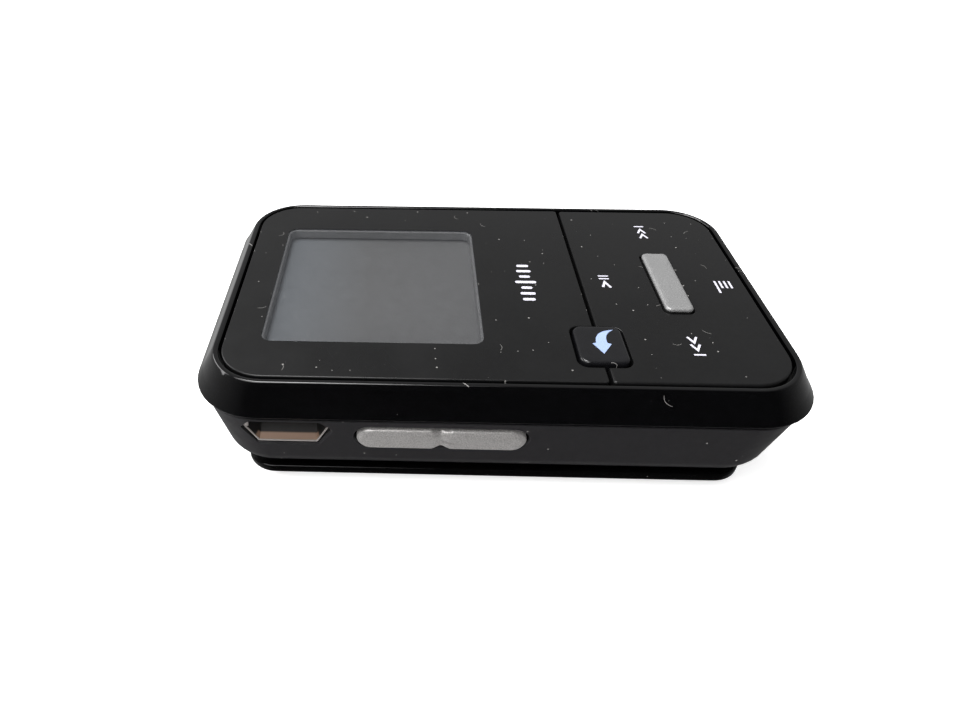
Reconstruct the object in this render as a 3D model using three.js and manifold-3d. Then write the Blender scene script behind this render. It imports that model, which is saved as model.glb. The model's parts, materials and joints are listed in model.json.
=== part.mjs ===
// A clip-on digital audio player, lying face up on its spring clip.
// Millimetres. +X runs from the screen end to the key end, +Y to the headphone side, +Z up through
// the face. The origin is on the clip's underside, below the middle of the body.
import * as THREE from "three";
import { mergeVertices } from "three/addons/utils/BufferGeometryUtils.js";
import Module from "manifold-3d";

const wasm = await Module();
wasm.setup();

// ---------------------------------------------------------------- driving dimensions

// Body
const bodyLength = 57.7;
const bodyWidth = 36.5;
const bodyCorner = 6.4;
const shellDepth = 7.95;
const bezelHeight = 3.25;
const partingGap = 0.3;
const shellWall = 1.2;
const lipHeight = 0.8;
const lipThickness = 0.6;
const lipGap = 0.25;
const lipCorner = 4.4;
const skirtInset = 1.6;
const skirtCorner = 4.6;

// Face
const plateMargin = 2.5;
const plateCorner = 4.4;
const plateGap = 0.3;
const lensThickness = 1.1;
const panelThickness = 0.95;
const tapeThickness = 0.2;
const deckThickness = 0.6;
const seamFromKeyEnd = 19.68;
const seamWidth = 0.35;
const windowSize = 21.3;
const windowFromScreenEnd = 5.9;

// Board and what it carries
const boardThickness = 0.8;
const boardGap = 0.25;
const bossHeight = 0.9;
const bossRadius = 1.3;
const domeRadius = 2.0;
const domeHeight = 0.25;
const displaySize = 24.0;
const displayThickness = 1.4;
const displayGap = 0.15;

// Keys
const selectSize = [2.8, 10.7];
const selectProud = 0.4;
const selectFromKeyEnd = 10.65;
const selectY = 0.3;
const keyRoomInset = 4.05;
const flangeReach = 0.6;
const flangeGap = 0.4;
const backSize = [4.6, 5.6];
const backProud = 0.3;
const backFromNearSide = 7.65;
const keyTravel = 0.3;
const rockingAngle = 1.5;
const keyGap = 0.15;
const backGap = 0.25;
const rockerLength = 15.7;
const rockerHeight = 3.2;
const rockerProud = 0.5;
const rockerFromScreenEnd = 23.2;
const powerLength = 7.0;
const powerHeight = 2.2;
const powerProud = 0.35;
const rockerWaist = 0.4;
const rockAngle = 2.5;
const sideKeyGap = 0.25;
const sideKeyHeight = 5.46;

// Sockets
const usbFromScreenEnd = 8.8;
const jackFromScreenEnd = 14.85;
const jackBore = 1.8;
const jackNose = 2.2;
const cardFromScreenEnd = 31.95;

// Battery
const batterySize = [32.6, 25.0, 3.6];
const batteryFromKeyEnd = 6.85;

// Clip
const clipThickness = 2.9;
const clipInset = 3.75;
const clipSideInset = 2.9;
const clipClearance = 0.3;
const clipFloor = 1.4;
const clipBevel = 1.65;
const clipBevelHeight = 1.5;
const pinRadius = 0.7;
const pinFromScreenEnd = 6.25;
const pinRise = 1.0;
const pinFit = 0.15;
const earRadius = 1.45;
const bayGap = 0.3;

// Clearances
const seatGap = 0.05;
const partGap = 0.3;

// ---------------------------------------------------------------- levels and places

const screenEnd = -bodyLength / 2;
const keyEnd = bodyLength / 2;
const nearSide = -bodyWidth / 2;
const farSide = bodyWidth / 2;

const shellBottom = clipThickness + clipClearance;
const shellTop = shellBottom + shellDepth;
const bezelBottom = shellTop + partingGap;
const faceZ = bezelBottom + bezelHeight;
const lensBottom = faceZ - lensThickness;
const tapeBottom = lensBottom - seatGap - tapeThickness;
const deckTop = tapeBottom - seatGap;
const deckBottom = deckTop - deckThickness;
const boardTop = deckBottom - bossHeight - 2 * seatGap;
const boardBottom = boardTop - boardThickness;
const domeTop = boardTop + seatGap + domeHeight;
const panelBottom = faceZ - panelThickness;

const seamX = keyEnd - seamFromKeyEnd;
const plateLength = bodyLength - 2 * plateMargin;
const plateWidth = bodyWidth - 2 * plateMargin;
const windowX = screenEnd + windowFromScreenEnd + windowSize / 2;
const panelX = (seamX + keyEnd - plateMargin) / 2;
const pivotZ = deckTop - partGap;
const selectX = keyEnd - selectFromKeyEnd;
const backY = nearSide + backFromNearSide;
const pinX = screenEnd + pinFromScreenEnd;
const pinZ = clipThickness + pinRise;

// ---------------------------------------------------------------- solids

const CORNER_STEPS = 5;

// Points of a rounded rectangle, anticlockwise, centred on (x, y).
function roundedOutline(length, width, radius, x = 0, y = 0) {
  const points = [];
  for (const [sx, sy, start] of [[1, 1, 0], [-1, 1, 90], [-1, -1, 180], [1, -1, 270]]) {
    for (let i = 0; i <= CORNER_STEPS; i++) {
      const angle = THREE.MathUtils.degToRad(start + (90 * i) / CORNER_STEPS);
      const px = x + sx * (length / 2 - radius) + radius * Math.cos(angle);
      const py = y + sy * (width / 2 - radius) + radius * Math.sin(angle);
      points.push([px, py]);
    }
  }
  return points;
}

// A closed body through rounded rectangles at rising heights.
function loft(sections) {
  const positions = [];
  for (const s of sections) {
    for (const [x, y] of roundedOutline(s.length, s.width, s.radius, s.x, s.y)) {
      positions.push(x, y, s.z);
    }
  }
  const n = 4 * (CORNER_STEPS + 1);
  const index = [];
  for (let k = 0; k < sections.length - 1; k++) {
    for (let i = 0; i < n; i++) {
      const j = (i + 1) % n;
      const [a, b, c, d] = [k * n + i, k * n + j, (k + 1) * n + j, (k + 1) * n + i];
      index.push(a, b, c, a, c, d);
    }
  }
  const top = (sections.length - 1) * n;
  for (let i = 1; i < n - 1; i++) {
    index.push(0, i + 1, i);
    index.push(top, top + i, top + i + 1);
  }
  const geometry = new THREE.BufferGeometry();
  geometry.setAttribute("position", new THREE.Float32BufferAttribute(positions, 3));
  geometry.setIndex(index);
  return geometry;
}

// A three.js geometry as a solid that can be cut and joined.
function solid(geometry) {
  const bare = geometry.index ? geometry.toNonIndexed() : geometry.clone();
  bare.deleteAttribute("normal");
  bare.deleteAttribute("uv");
  const merged = mergeVertices(bare, 1e-4);
  const mesh = new wasm.Mesh({
    numProp: 3,
    vertProperties: merged.attributes.position.array,
    triVerts: new Uint32Array(merged.index.array),
  });
  return new wasm.Manifold(mesh);
}

function geometryOf(shape) {
  const mesh = shape.getMesh();
  const geometry = new THREE.BufferGeometry();
  geometry.setAttribute("position", new THREE.Float32BufferAttribute(mesh.vertProperties, 3));
  geometry.setIndex([...mesh.triVerts]);
  const flat = geometry.toNonIndexed();
  flat.computeVertexNormals();
  return flat;
}

const join = (...shapes) => shapes.reduce((all, shape) => all.add(shape));
const cut = (shape, ...tools) => tools.reduce((rest, tool) => rest.subtract(tool), shape);

// A straight slab with rounded corners.
function slab(length, width, radius, z0, z1, x = 0, y = 0) {
  const section = { length, width, radius, x, y };
  return solid(loft([{ ...section, z: z0 }, { ...section, z: z1 }]));
}

// A slab whose upper edge has a small chamfer.
function cap(length, width, radius, z0, z1, chamfer, x = 0, y = 0) {
  const top = { length: length - 2 * chamfer, width: width - 2 * chamfer };
  const section = { length, width, radius, x, y };
  return solid(
    loft([
      { ...section, z: z0 },
      { ...section, z: z1 - chamfer },
      { ...section, ...top, radius: Math.max(radius - chamfer, 0.1), z: z1 },
    ]),
  );
}

function block(x0, x1, y0, y1, z0, z1) {
  const box = new THREE.BoxGeometry(x1 - x0, y1 - y0, z1 - z0);
  box.translate((x0 + x1) / 2, (y0 + y1) / 2, (z0 + z1) / 2);
  return solid(box);
}

function upright(radius, z0, z1, x = 0, y = 0, sides = 16) {
  const post = new THREE.CylinderGeometry(radius, radius, z1 - z0, sides);
  post.rotateX(Math.PI / 2);
  post.translate(x, y, (z0 + z1) / 2);
  return solid(post);
}

function alongY(radius, y0, y1, x, z, sides = 16) {
  const bar = new THREE.CylinderGeometry(radius, radius, y1 - y0, sides);
  bar.translate(x, (y0 + y1) / 2, z);
  return solid(bar);
}

// A polygon drawn in X and Z, drawn out along Y.
function prismAlongY(points, y0, y1) {
  const shape = new THREE.Shape(points.map(([x, z]) => new THREE.Vector2(x, z)));
  const geometry = new THREE.ExtrudeGeometry(shape, { depth: y1 - y0, bevelEnabled: false });
  geometry.rotateX(Math.PI / 2);
  geometry.translate(0, y1, 0);
  return solid(geometry);
}

// ---------------------------------------------------------------- body profiles

// Rear shell: height above its back, distance in from the widest line, corner radius.
const shellProfile = [
  { rise: 0, inset: 3.9, radius: 4.0 },
  { rise: 0.35, inset: 2.9, radius: 4.3 },
  { rise: 1.1, inset: 2.25, radius: 4.6 },
  { rise: 2.8, inset: 1.68, radius: 4.9 },
  { rise: shellDepth, inset: 0.5, radius: 5.9 },
];
const wallDraft = Math.atan2(1.68 - 0.5, shellDepth - 2.8);

// Front bezel: height above its lower edge.
const bezelProfile = [
  { rise: 0, inset: 0.5, radius: 5.9 },
  { rise: 0.3, inset: 0.08, radius: bodyCorner - 0.1 },
  { rise: 0.5, inset: 0, radius: bodyCorner },
  { rise: 0.72, inset: 0.12, radius: bodyCorner - 0.1 },
  { rise: 1.5, inset: 0.8, radius: 5.9 },
  { rise: bezelHeight - 0.25, inset: 1.55, radius: 5.4 },
  { rise: bezelHeight, inset: 1.75, radius: 5.2 },
];

function bodyLoft(profile, base) {
  const sections = profile.map(({ rise, inset, radius }) => ({
    z: base + rise,
    length: bodyLength - 2 * inset,
    width: bodyWidth - 2 * inset,
    radius,
  }));
  return solid(loft(sections));
}

// How far in from the widest line the drafted side wall stands at height z.
function wallInset(z) {
  return 0.5 + (shellTop - z) * Math.tan(wallDraft);
}

// Frame on a side wall: X along the wall, Y up its slope, Z straight out of it.
function wallFrame(point, outward) {
  const [c, s] = [Math.cos(wallDraft), Math.sin(wallDraft)];
  const normal = new THREE.Vector3(outward[0] * c, outward[1] * c, -s);
  const up = new THREE.Vector3(outward[0] * s, outward[1] * s, c);
  const along = new THREE.Vector3().crossVectors(up, normal);
  return new THREE.Matrix4().makeBasis(along, up, normal).setPosition(...point);
}

const sideKeyZ = shellBottom + sideKeyHeight;
const rockerX = screenEnd + rockerFromScreenEnd;
const rockerFrame = wallFrame([rockerX, nearSide + wallInset(sideKeyZ), sideKeyZ], [0, -1]);
const powerFrame = wallFrame([screenEnd + wallInset(sideKeyZ), 0, sideKeyZ], [-1, 0]);

// A bar with half-round ends, its outline in X and Y; a waist narrows its middle.
function barShape(length, height, waist = 0) {
  const half = length / 2 - height / 2;
  const side = height / 2;
  const shape = new THREE.Shape();
  shape.moveTo(-half, -side);
  if (waist) {
    shape.lineTo(-0.8, -side);
    shape.lineTo(-0.3, waist - side);
    shape.lineTo(0.3, waist - side);
    shape.lineTo(0.8, -side);
  }
  shape.lineTo(half, -side);
  shape.absarc(half, 0, side, -Math.PI / 2, Math.PI / 2, false);
  if (waist) {
    shape.lineTo(0.8, side);
    shape.lineTo(0.3, side - waist);
    shape.lineTo(-0.3, side - waist);
    shape.lineTo(-0.8, side);
  }
  shape.lineTo(-half, side);
  shape.absarc(-half, 0, side, Math.PI / 2, (3 * Math.PI) / 2, false);
  return shape;
}

// The bar from depth z0 to z1, with a bevel round both ends.
function bar(shape, z0, z1, bevel = 0) {
  const geometry = new THREE.ExtrudeGeometry(shape, {
    depth: z1 - z0 - 2 * bevel,
    bevelEnabled: bevel > 0,
    bevelThickness: bevel,
    bevelSize: bevel,
    bevelOffset: -bevel,
    bevelSegments: 1,
    curveSegments: 8,
  });
  geometry.translate(0, 0, z0 + bevel);
  return geometry;
}

// ---------------------------------------------------------------- shells and face

const screwPlaces = [
  [screenEnd + 4.55, farSide - 4.65],
  [keyEnd - 4.55, farSide - 4.65],
  [keyEnd - 4.55, nearSide + 4.65],
  [screenEnd + 33.45, nearSide + 4.05],
];
const screwRadius = 0.55;

// A slab that keeps the same gap to a key all round.
const roundKey = ([length, width], gap, radius, z0, z1, x, y) =>
  slab(length + 2 * gap, width + 2 * gap, radius, z0, z1, x, y);
const selectOpening = (z0, z1) => roundKey(selectSize, keyGap, 0.7, z0, z1, selectX, selectY);
const backOpening = (z0, z1) => roundKey(backSize, backGap, 1.0, z0, z1, seamX, backY);

function frontBezel() {
  const recessLength = plateLength + 2 * plateGap;
  const recessWidth = plateWidth + 2 * plateGap;
  const above = faceZ + 1;
  const skirt = bodyLength - 2 * skirtInset;
  const skirtWidth = bodyWidth - 2 * skirtInset;
  const opening = displaySize + 2 * displayGap;
  const keyRoom = [seamX + 1.0, keyEnd - plateMargin - 0.75];
  const keyRoomHalf = bodyWidth / 2 - keyRoomInset;
  const recessCorner = plateCorner + plateGap;
  const panelRoom = slab(recessLength, recessWidth, recessCorner, deckTop - partGap, above);
  let frame = cut(
    bodyLoft(bezelProfile, bezelBottom),
    slab(recessLength, recessWidth, recessCorner, deckTop, above),
    slab(skirt, skirtWidth, skirtCorner, bezelBottom - 1, deckBottom),
    slab(opening, opening, 0.6, deckBottom - 1, above, windowX, 0),
    block(...keyRoom, -keyRoomHalf, keyRoomHalf, deckBottom - 1, above),
    roundKey(backSize, flangeReach + flangeGap, 0.8, deckBottom - 1, above, seamX, backY),
    panelRoom.intersect(block(seamX, keyEnd, nearSide, farSide, 0, above)),
  );
  for (const [x, y] of screwPlaces) {
    frame = frame.add(upright(bossRadius, deckBottom - bossHeight, deckBottom + 0.1, x, y));
    const pilot = screwRadius + partGap;
    frame = frame.subtract(upright(pilot, deckBottom - bossHeight - 1, deckBottom, x, y));
  }
  return frame;
}

function facePlate(fromX, toX, z0, chamfer) {
  const whole = cap(plateLength, plateWidth, plateCorner, z0, faceZ, chamfer);
  const kept = block(fromX, toX, nearSide, farSide, z0 - 1, faceZ + 1);
  return cut(whole.intersect(kept), backOpening(z0 - 1, faceZ + 1));
}

function faceLens() {
  return facePlate(screenEnd, seamX - seamWidth / 2, lensBottom, 0.15);
}

// Adhesive frame that holds the lens on the deck round the window.
function lensTape() {
  const margin = 0.3;
  const top = tapeBottom + tapeThickness;
  const length = plateLength - 2 * margin;
  const width = plateWidth - 2 * margin;
  const sheet = slab(length, width, plateCorner - margin, tapeBottom, top);
  const kept = block(screenEnd, seamX - seamWidth / 2 - margin, nearSide, farSide, 0, faceZ);
  const hole = displaySize + 1.0;
  return cut(
    sheet.intersect(kept),
    slab(hole, hole, 1.1, 0, faceZ, windowX, 0),
    roundKey(backSize, flangeReach + flangeGap + 0.1, 1.0, 0, faceZ, seamX, backY),
  );
}

// Clip bay in the shell's back: the ears and the lugs of the hinge stand in it.
const bayHalf = earRadius + bayGap;
const bayWidth = 21.0;
const bayTop = pinZ + earRadius + 0.25;
const lugWidth = 2.2;
const earY = 6.5;
const earWidth = 2.4;

// Opening of the USB socket: flat top and bottom, with slanted ends.
function usbOpening() {
  const x = screenEnd + usbFromScreenEnd;
  const middle = shellTop - 1.55;
  const points = [
    [x - 2.85, shellTop - 3.7],
    [x + 2.85, shellTop - 3.7],
    [x + 4.25, middle],
    [x + 3.15, shellTop - 0.4],
    [x - 3.15, shellTop - 0.4],
    [x - 4.25, middle],
  ];
  return prismAlongY(points, nearSide - 1, nearSide + 4);
}

function cavity() {
  const floor = shellBottom + shellWall;
  const lipInner = skirtInset + lipGap + lipThickness;
  const sections = [
    { z: floor, inset: 4.4, radius: 3.4 },
    { z: floor + 0.8, inset: 3.35, radius: 3.6 },
    { z: floor + 1.8, inset: 2.95, radius: 3.8 },
    { z: shellTop - 1.6, inset: lipInner, radius: 3.9 },
    { z: shellTop + lipHeight + 1, inset: lipInner, radius: 3.9 },
  ];
  return solid(
    loft(
      sections.map(({ z, inset, radius }) => ({
        z,
        length: bodyLength - 2 * inset,
        width: bodyWidth - 2 * inset,
        radius,
      })),
    ),
  );
}

function rearShell() {
  const lipInset = skirtInset + lipGap;
  const lip = slab(
    bodyLength - 2 * lipInset,
    bodyWidth - 2 * lipInset,
    lipCorner,
    shellTop - 0.5,
    shellTop + lipHeight,
  );
  const bayRoof = block(
    pinX - bayHalf - 1,
    pinX + bayHalf + 1,
    -bayWidth / 2 - 1,
    bayWidth / 2 + 1,
    shellBottom + 0.5,
    bayTop + 1,
  );
  const hollow = cut(join(bodyLoft(shellProfile, shellBottom), lip), cavity());
  const outer = bodyLoft(shellProfile, shellBottom);
  const roofed = join(hollow, bayRoof.intersect(outer));
  const bay = block(
    pinX - bayHalf,
    pinX + bayHalf,
    -bayWidth / 2,
    bayWidth / 2,
    shellBottom - 1,
    bayTop,
  );
  let shell = cut(roofed, bay);
  for (const side of [-1, 1]) {
    const y0 = side < 0 ? -bayWidth / 2 - 0.1 : bayWidth / 2 - lugWidth;
    const y1 = y0 + lugWidth + 0.1;
    const lugRadius = earRadius - 0.15;
    const lug = join(
      block(pinX - lugRadius, pinX + lugRadius, y0, y1, pinZ, bayTop + 0.1),
      alongY(lugRadius, y0, y1, pinX, pinZ),
    );
    shell = shell.add(lug);
  }
  const slotLength = rockerLength + 2 * sideKeyGap;
  const rockerSlot = bar(barShape(slotLength, rockerHeight + 2 * sideKeyGap), -4, 2);
  const powerSlot = bar(barShape(powerLength + 2 * sideKeyGap, powerHeight + 2 * sideKeyGap), -4, 2);
  const jackX = screenEnd + jackFromScreenEnd;
  const cardX = screenEnd + cardFromScreenEnd;
  return cut(
    shell,
    alongY(pinRadius + pinFit, -bayWidth / 2 + 0.3, bayWidth / 2 - 0.3, pinX, pinZ),
    solid(rockerSlot.applyMatrix4(rockerFrame)),
    solid(powerSlot.applyMatrix4(powerFrame)),
    usbOpening(),
    alongY(jackNose + partGap, farSide - 4, farSide + 1, jackX, jackZ, 24),
    block(cardX - 6, cardX + 6, farSide - 4, farSide + 1, cardZ - 0.85, cardZ + 0.85),
  );
}

// ---------------------------------------------------------------- board and sockets

const boardInset = skirtInset + lipGap + lipThickness + boardGap;
const jackZ = boardBottom - 2.6;
const cardZ = boardBottom - 1.0;
const underBoard = boardBottom - seatGap;

function mainBoard() {
  const length = bodyLength - 2 * boardInset;
  const width = bodyWidth - 2 * boardInset;
  const sheet = slab(length, width, 3.4, boardBottom, boardTop);
  const hole = screwRadius + partGap;
  const holes = screwPlaces.map(([x, y]) => upright(hole, 0, faceZ, x, y));
  return cut(sheet, ...holes);
}

// A chip hanging under the board, drawn round its own middle.
function chip(length, width, height) {
  return cap(length, width, 0.15, 0, height, 0.1);
}

function screw() {
  const head = upright(2 * screwRadius, -0.85, 0, 0, 0, 16);
  const shank = upright(screwRadius, -0.1, boardThickness + 0.6, 0, 0, 12);
  const recess = join(
    block(-0.7, 0.7, -0.15, 0.15, -1, -0.45),
    block(-0.15, 0.15, -0.7, 0.7, -1, -0.45),
  );
  return cut(join(head, shank), recess);
}

// Snap dome of sprung steel: a flat rim rising to a shallow crown.
function dome() {
  const profile = [
    [0, 0],
    [domeRadius, 0],
    [domeRadius, 0.06],
    [0.8 * domeRadius, 0.16],
    [0.45 * domeRadius, domeHeight - 0.02],
    [0, domeHeight],
  ];
  const lathe = new THREE.LatheGeometry(profile.map(([r, h]) => new THREE.Vector2(r, h)), 16);
  lathe.rotateX(Math.PI / 2);
  return solid(lathe);
}

function displayFlex() {
  const x = windowX + displaySize / 2;
  const low = boardTop + seatGap;
  const high = low + 0.45;
  const sheet = 0.15;
  return prismAlongY(
    [
      [x + 0.1, high],
      [x + 1.1, high],
      [x + 1.4, low],
      [x + 4.2, low],
      [x + 4.2, low + sheet],
      [x + 1.5, low + sheet],
      [x + 1.25, high + sheet],
      [x + 0.1, high + sheet],
    ],
    -5,
    5,
  );
}

// Outline of the USB receptacle, grown or shrunk by an offset.
function usbSection(offset) {
  const x = screenEnd + usbFromScreenEnd;
  const top = underBoard - 0.05 + offset;
  return [
    [x - 2.8 - offset, underBoard - 2.55 - offset],
    [x + 2.8 + offset, underBoard - 2.55 - offset],
    [x + 3.75 + offset, underBoard - 1.15],
    [x + 3.75 + offset, top],
    [x - 3.75 - offset, top],
    [x - 3.75 - offset, underBoard - 1.15],
  ];
}

const usbMouth = nearSide + 2.75;
const usbDepth = 4.9;

function usbReceptacle() {
  const tube = prismAlongY(usbSection(0), usbMouth, usbMouth + usbDepth);
  return tube.subtract(prismAlongY(usbSection(-0.3), usbMouth - 1, usbMouth + usbDepth - 0.4));
}

function usbTongue() {
  const x = screenEnd + usbFromScreenEnd;
  const top = underBoard - 0.55;
  const rear = usbMouth + usbDepth - 0.6;
  return join(
    block(x - 1.9, x + 1.9, usbMouth + 0.7, rear, top - 0.6, top),
    block(x - 2.4, x + 2.4, rear - 0.9, rear, top - 1.5, top),
  );
}

function headphoneJack() {
  const x = screenEnd + jackFromScreenEnd;
  const inner = farSide - 3.15;
  const mouth = farSide - 1.25;
  const body = block(x - 2.9, x + 2.9, mouth - 14.4, inner, jackZ - 2.45, underBoard);
  return cut(
    join(body, alongY(jackNose, inner - 0.5, mouth, x, jackZ, 24)),
    alongY(jackBore, mouth - 14.0, mouth + 1, x, jackZ, 24),
    block(x + 2.1, x + 4, mouth - 12, mouth - 4, jackZ - 1.3, jackZ + 1.3),
  );
}

function jackContact() {
  const x = screenEnd + jackFromScreenEnd;
  const mouth = farSide - 1.25;
  return block(x + 2.3, x + 2.6, mouth - 11.6, mouth - 4.4, jackZ - 1.0, jackZ + 1.0);
}

function cardSocket() {
  const x = screenEnd + cardFromScreenEnd;
  const mouth = farSide - 2.95;
  return cut(
    block(x - 7.3, x + 7.3, mouth - 14.4, mouth, underBoard - 1.9, underBoard),
    block(x - 5.7, x + 5.7, mouth - 13.9, mouth + 1, cardZ - 0.5, cardZ + 0.55),
  );
}

// Right-angle push switch for a side key; its plunger points along +Y.
function sideSwitch(length, height) {
  return join(
    block(-length / 2, length / 2, -2.0, -0.3, -height, 0),
    block(-0.8, 0.8, -0.5, 0, -0.5 * height - 0.5, -0.5 * height + 0.5),
  );
}

// ---------------------------------------------------------------- battery

const batteryX = keyEnd - batteryFromKeyEnd - batterySize[0] / 2;
const batteryY = -0.7;
const batteryBottom = shellBottom + shellWall + 0.3;
const batteryTop = batteryBottom + batterySize[2];

function batteryCell() {
  const [length, width] = batterySize;
  const section = { x: batteryX, y: batteryY, length, width, radius: 1.4 };
  const edge = { ...section, length: length - 0.8, width: width - 0.8 };
  return solid(
    loft([
      { ...edge, z: batteryBottom },
      { ...section, z: batteryBottom + 0.4 },
      { ...section, z: batteryTop - 0.4 },
      { ...edge, z: batteryTop },
    ]),
  );
}

function batteryBoard() {
  const x = batteryX - batterySize[0] / 2 - 0.3;
  return block(x - 3.2, x, batteryY - 9.5, batteryY + 2.5, batteryBottom + 0.3, batteryTop - 0.7);
}

function batteryLead(y) {
  const x = batteryX - batterySize[0] / 2 - 1.5;
  const from = batteryTop - 0.6;
  const points = [
    new THREE.Vector3(x, y, from),
    new THREE.Vector3(x + 0.1, y, from + 0.9),
    new THREE.Vector3(x + 0.9, y, from + 1.7),
    new THREE.Vector3(x + 1.2, y, underBoard - 0.1),
  ];
  const section = new THREE.Shape().absarc(0, 0, 0.3, 0, 2 * Math.PI, false);
  const path = new THREE.CatmullRomCurve3(points);
  return solid(new THREE.ExtrudeGeometry(section, { steps: 10, curveSegments: 4, extrudePath: path }));
}

// ---------------------------------------------------------------- keys

const nubRadius = 0.9;
const panelTilt = Math.tan(THREE.MathUtils.degToRad(rockingAngle));
const fourWayReach = [6.0, 10.5];
const postX = 4.6;
const padTop = pivotZ - 0.35;
const touch = 0.03;

// Moulded pad between the control panel and the board. It carries the pivots and two actuators.
function keyPad() {
  const nubBottom = domeTop + fourWayReach[0] * panelTilt + touch;
  let pad = cut(
    slab(14.8, 11.0, 1.2, padTop - 0.3, padTop, panelX, 0),
    slab(3.2, 4.6, 0.6, 0, faceZ, selectX, selectY),
  );
  for (const side of [-1, 1]) {
    pad = join(
      pad,
      upright(nubRadius, nubBottom, padTop - 0.2, panelX + side * fourWayReach[0], 0),
      upright(0.7, padTop - 0.1, pivotZ + 0.2, panelX + side * postX, 0),
    );
  }
  return pad;
}

// Four-way control panel: it rocks on the pad's two posts.
function controlPanel() {
  const nubBottom = domeTop + fourWayReach[1] * panelTilt + touch;
  const keyEndX = keyEnd - plateMargin;
  let panel = cut(
    facePlate(seamX + seamWidth / 2, keyEndX + 1, panelBottom, 0.25),
    selectOpening(panelBottom - 1, faceZ + 1),
  );
  for (const side of [-1, 1]) {
    panel = join(
      panel,
      upright(nubRadius, nubBottom, panelBottom + 0.1, panelX, side * fourWayReach[1]),
      upright(0.7, pivotZ + 0.3, panelBottom + 0.1, panelX + side * postX, 0),
    );
  }
  return panel;
}

function selectButton() {
  const flangeBottom = pivotZ + 0.1;
  const [length, width] = selectSize;
  return join(
    cap(length, width, 0.6, flangeBottom, faceZ + selectProud, 0.22, selectX, selectY),
    roundKey(selectSize, flangeReach, 0.8, flangeBottom, flangeBottom + 0.35, selectX, selectY),
    upright(nubRadius, domeTop + keyTravel + touch, flangeBottom + 0.1, selectX, selectY),
  );
}

function backButton() {
  const flangeBottom = pivotZ - 0.2;
  const [length, width] = backSize;
  return join(
    cap(length, width, 0.9, flangeBottom, faceZ + backProud, 0.25, seamX, backY),
    roundKey(backSize, flangeReach, 0.8, flangeBottom, flangeBottom + 0.3, seamX, backY),
    upright(nubRadius, domeTop + keyTravel + touch, flangeBottom + 0.1, seamX, backY),
  );
}

// Volume rocker, in the near wall's frame: a waisted bar, its flange and two pegs.
const rockerFlange = [-2.9, -2.4];
const pegReach = 5.2;
const pegHalf = [0.8, 0.7];
const pegEnd = -3.3;

// A peg on a side key's flange that pushes its switch.
const peg = (x) =>
  block(x - pegHalf[0], x + pegHalf[0], -pegHalf[1], pegHalf[1], pegEnd, rockerFlange[1]);

function volumeRocker() {
  const outline = barShape(rockerLength, rockerHeight, rockerWaist);
  const face = solid(bar(outline, rockerFlange[0], rockerProud, 0.3));
  const flangeHalf = rockerLength / 2 + 0.65;
  const flange = block(-flangeHalf, flangeHalf, -1.9, 1.4, ...rockerFlange);
  return join(face, flange, peg(-pegReach), peg(pegReach));
}

// Power button, in the end wall's frame.
function powerButton() {
  const face = solid(bar(barShape(powerLength, powerHeight), rockerFlange[0], powerProud, 0.25));
  return join(
    face,
    block(-powerLength / 2 - 0.7, powerLength / 2 + 0.7, -1.5, 1.35, ...rockerFlange),
    peg(0),
  );
}

// ---------------------------------------------------------------- clip

const clipLength = bodyLength - 2 * clipInset;
const clipWidth = bodyWidth - 2 * clipSideInset;
const clipEnd = -clipLength / 2;
const jawLength = 5.6;

function clipPlate() {
  const full = { length: clipLength, width: clipWidth, radius: 3.0 };
  const foot = { length: clipLength - 2 * clipBevel, width: clipWidth - 1.6 * clipBevel, radius: 2.2 };
  const plate = solid(
    loft([
      { ...foot, z: 0 },
      { ...full, z: clipBevelHeight },
      { ...full, z: clipThickness },
    ]),
  );
  const pocketEnd = -clipEnd - jawLength;
  const pocketStart = clipEnd + 1.1;
  const pocketWidth = clipWidth - 3.1;
  let clip = cut(
    plate,
    slab(
      pocketEnd - pocketStart,
      pocketWidth,
      1.5,
      clipFloor,
      clipThickness + 1,
      (pocketEnd + pocketStart) / 2,
      0,
    ),
    prismAlongY(
      [
        [clipEnd - 0.9, clipThickness - 0.7],
        [pinX - 0.3, clipThickness + 0.05],
        [clipEnd - 0.9, clipThickness + 0.3],
      ],
      nearSide,
      farSide,
    ),
  );
  for (const side of [-1, 1]) {
    const y = side * earY;
    const half = earWidth / 2;
    clip = join(
      clip,
      block(pinX - earRadius, pinX + earRadius, y - half, y + half, clipFloor - 0.2, pinZ),
      alongY(earRadius, y - half, y + half, pinX, pinZ),
      block(pinX, pocketEnd + 0.1, y - 0.5, y + 0.5, clipFloor - 0.1, clipThickness - 0.2),
    );
  }
  const bore = alongY(pinRadius + pinFit, -earY - earWidth, earY + earWidth, pinX, pinZ);
  const grooves = [0, 1, 2].map((i) => {
    const x = pocketEnd + 2.6 + i;
    return block(x, x + 0.4, -10, 10, clipThickness - 0.3, clipThickness + 1);
  });
  return cut(clip, bore, ...grooves);
}

// Torsion spring: close turns round the hinge pin with a short leg at each end.
class SpringPath extends THREE.Curve {
  constructor(turns, pitch, radius, leg) {
    super();
    Object.assign(this, { turns, pitch, radius, leg });
  }

  getPoint(t, target = new THREE.Vector3()) {
    const share = 0.08;
    const y0 = (-this.turns * this.pitch) / 2;
    const inCoil = THREE.MathUtils.clamp((t - share) / (1 - 2 * share), 0, 1);
    const angle = Math.PI / 2 + (this.turns - 0.5) * 2 * Math.PI * inCoil;
    target.set(
      pinX + this.radius * Math.cos(angle),
      y0 + this.turns * this.pitch * inCoil,
      pinZ + this.radius * Math.sin(angle),
    );
    if (t < share) {
      target.x -= this.leg * (1 - t / share);
    }
    if (t > 1 - share) {
      target.x -= this.leg * ((t - 1 + share) / share);
    }
    return target;
  }
}

function clipSpring() {
  const wire = new THREE.Shape().absarc(0, 0, 0.2, 0, 2 * Math.PI, false);
  const path = new SpringPath(5, 0.7, 1.2, 1.1);
  return solid(new THREE.ExtrudeGeometry(wire, { steps: 90, curveSegments: 3, extrudePath: path }));
}

// ---------------------------------------------------------------- scene

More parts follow.
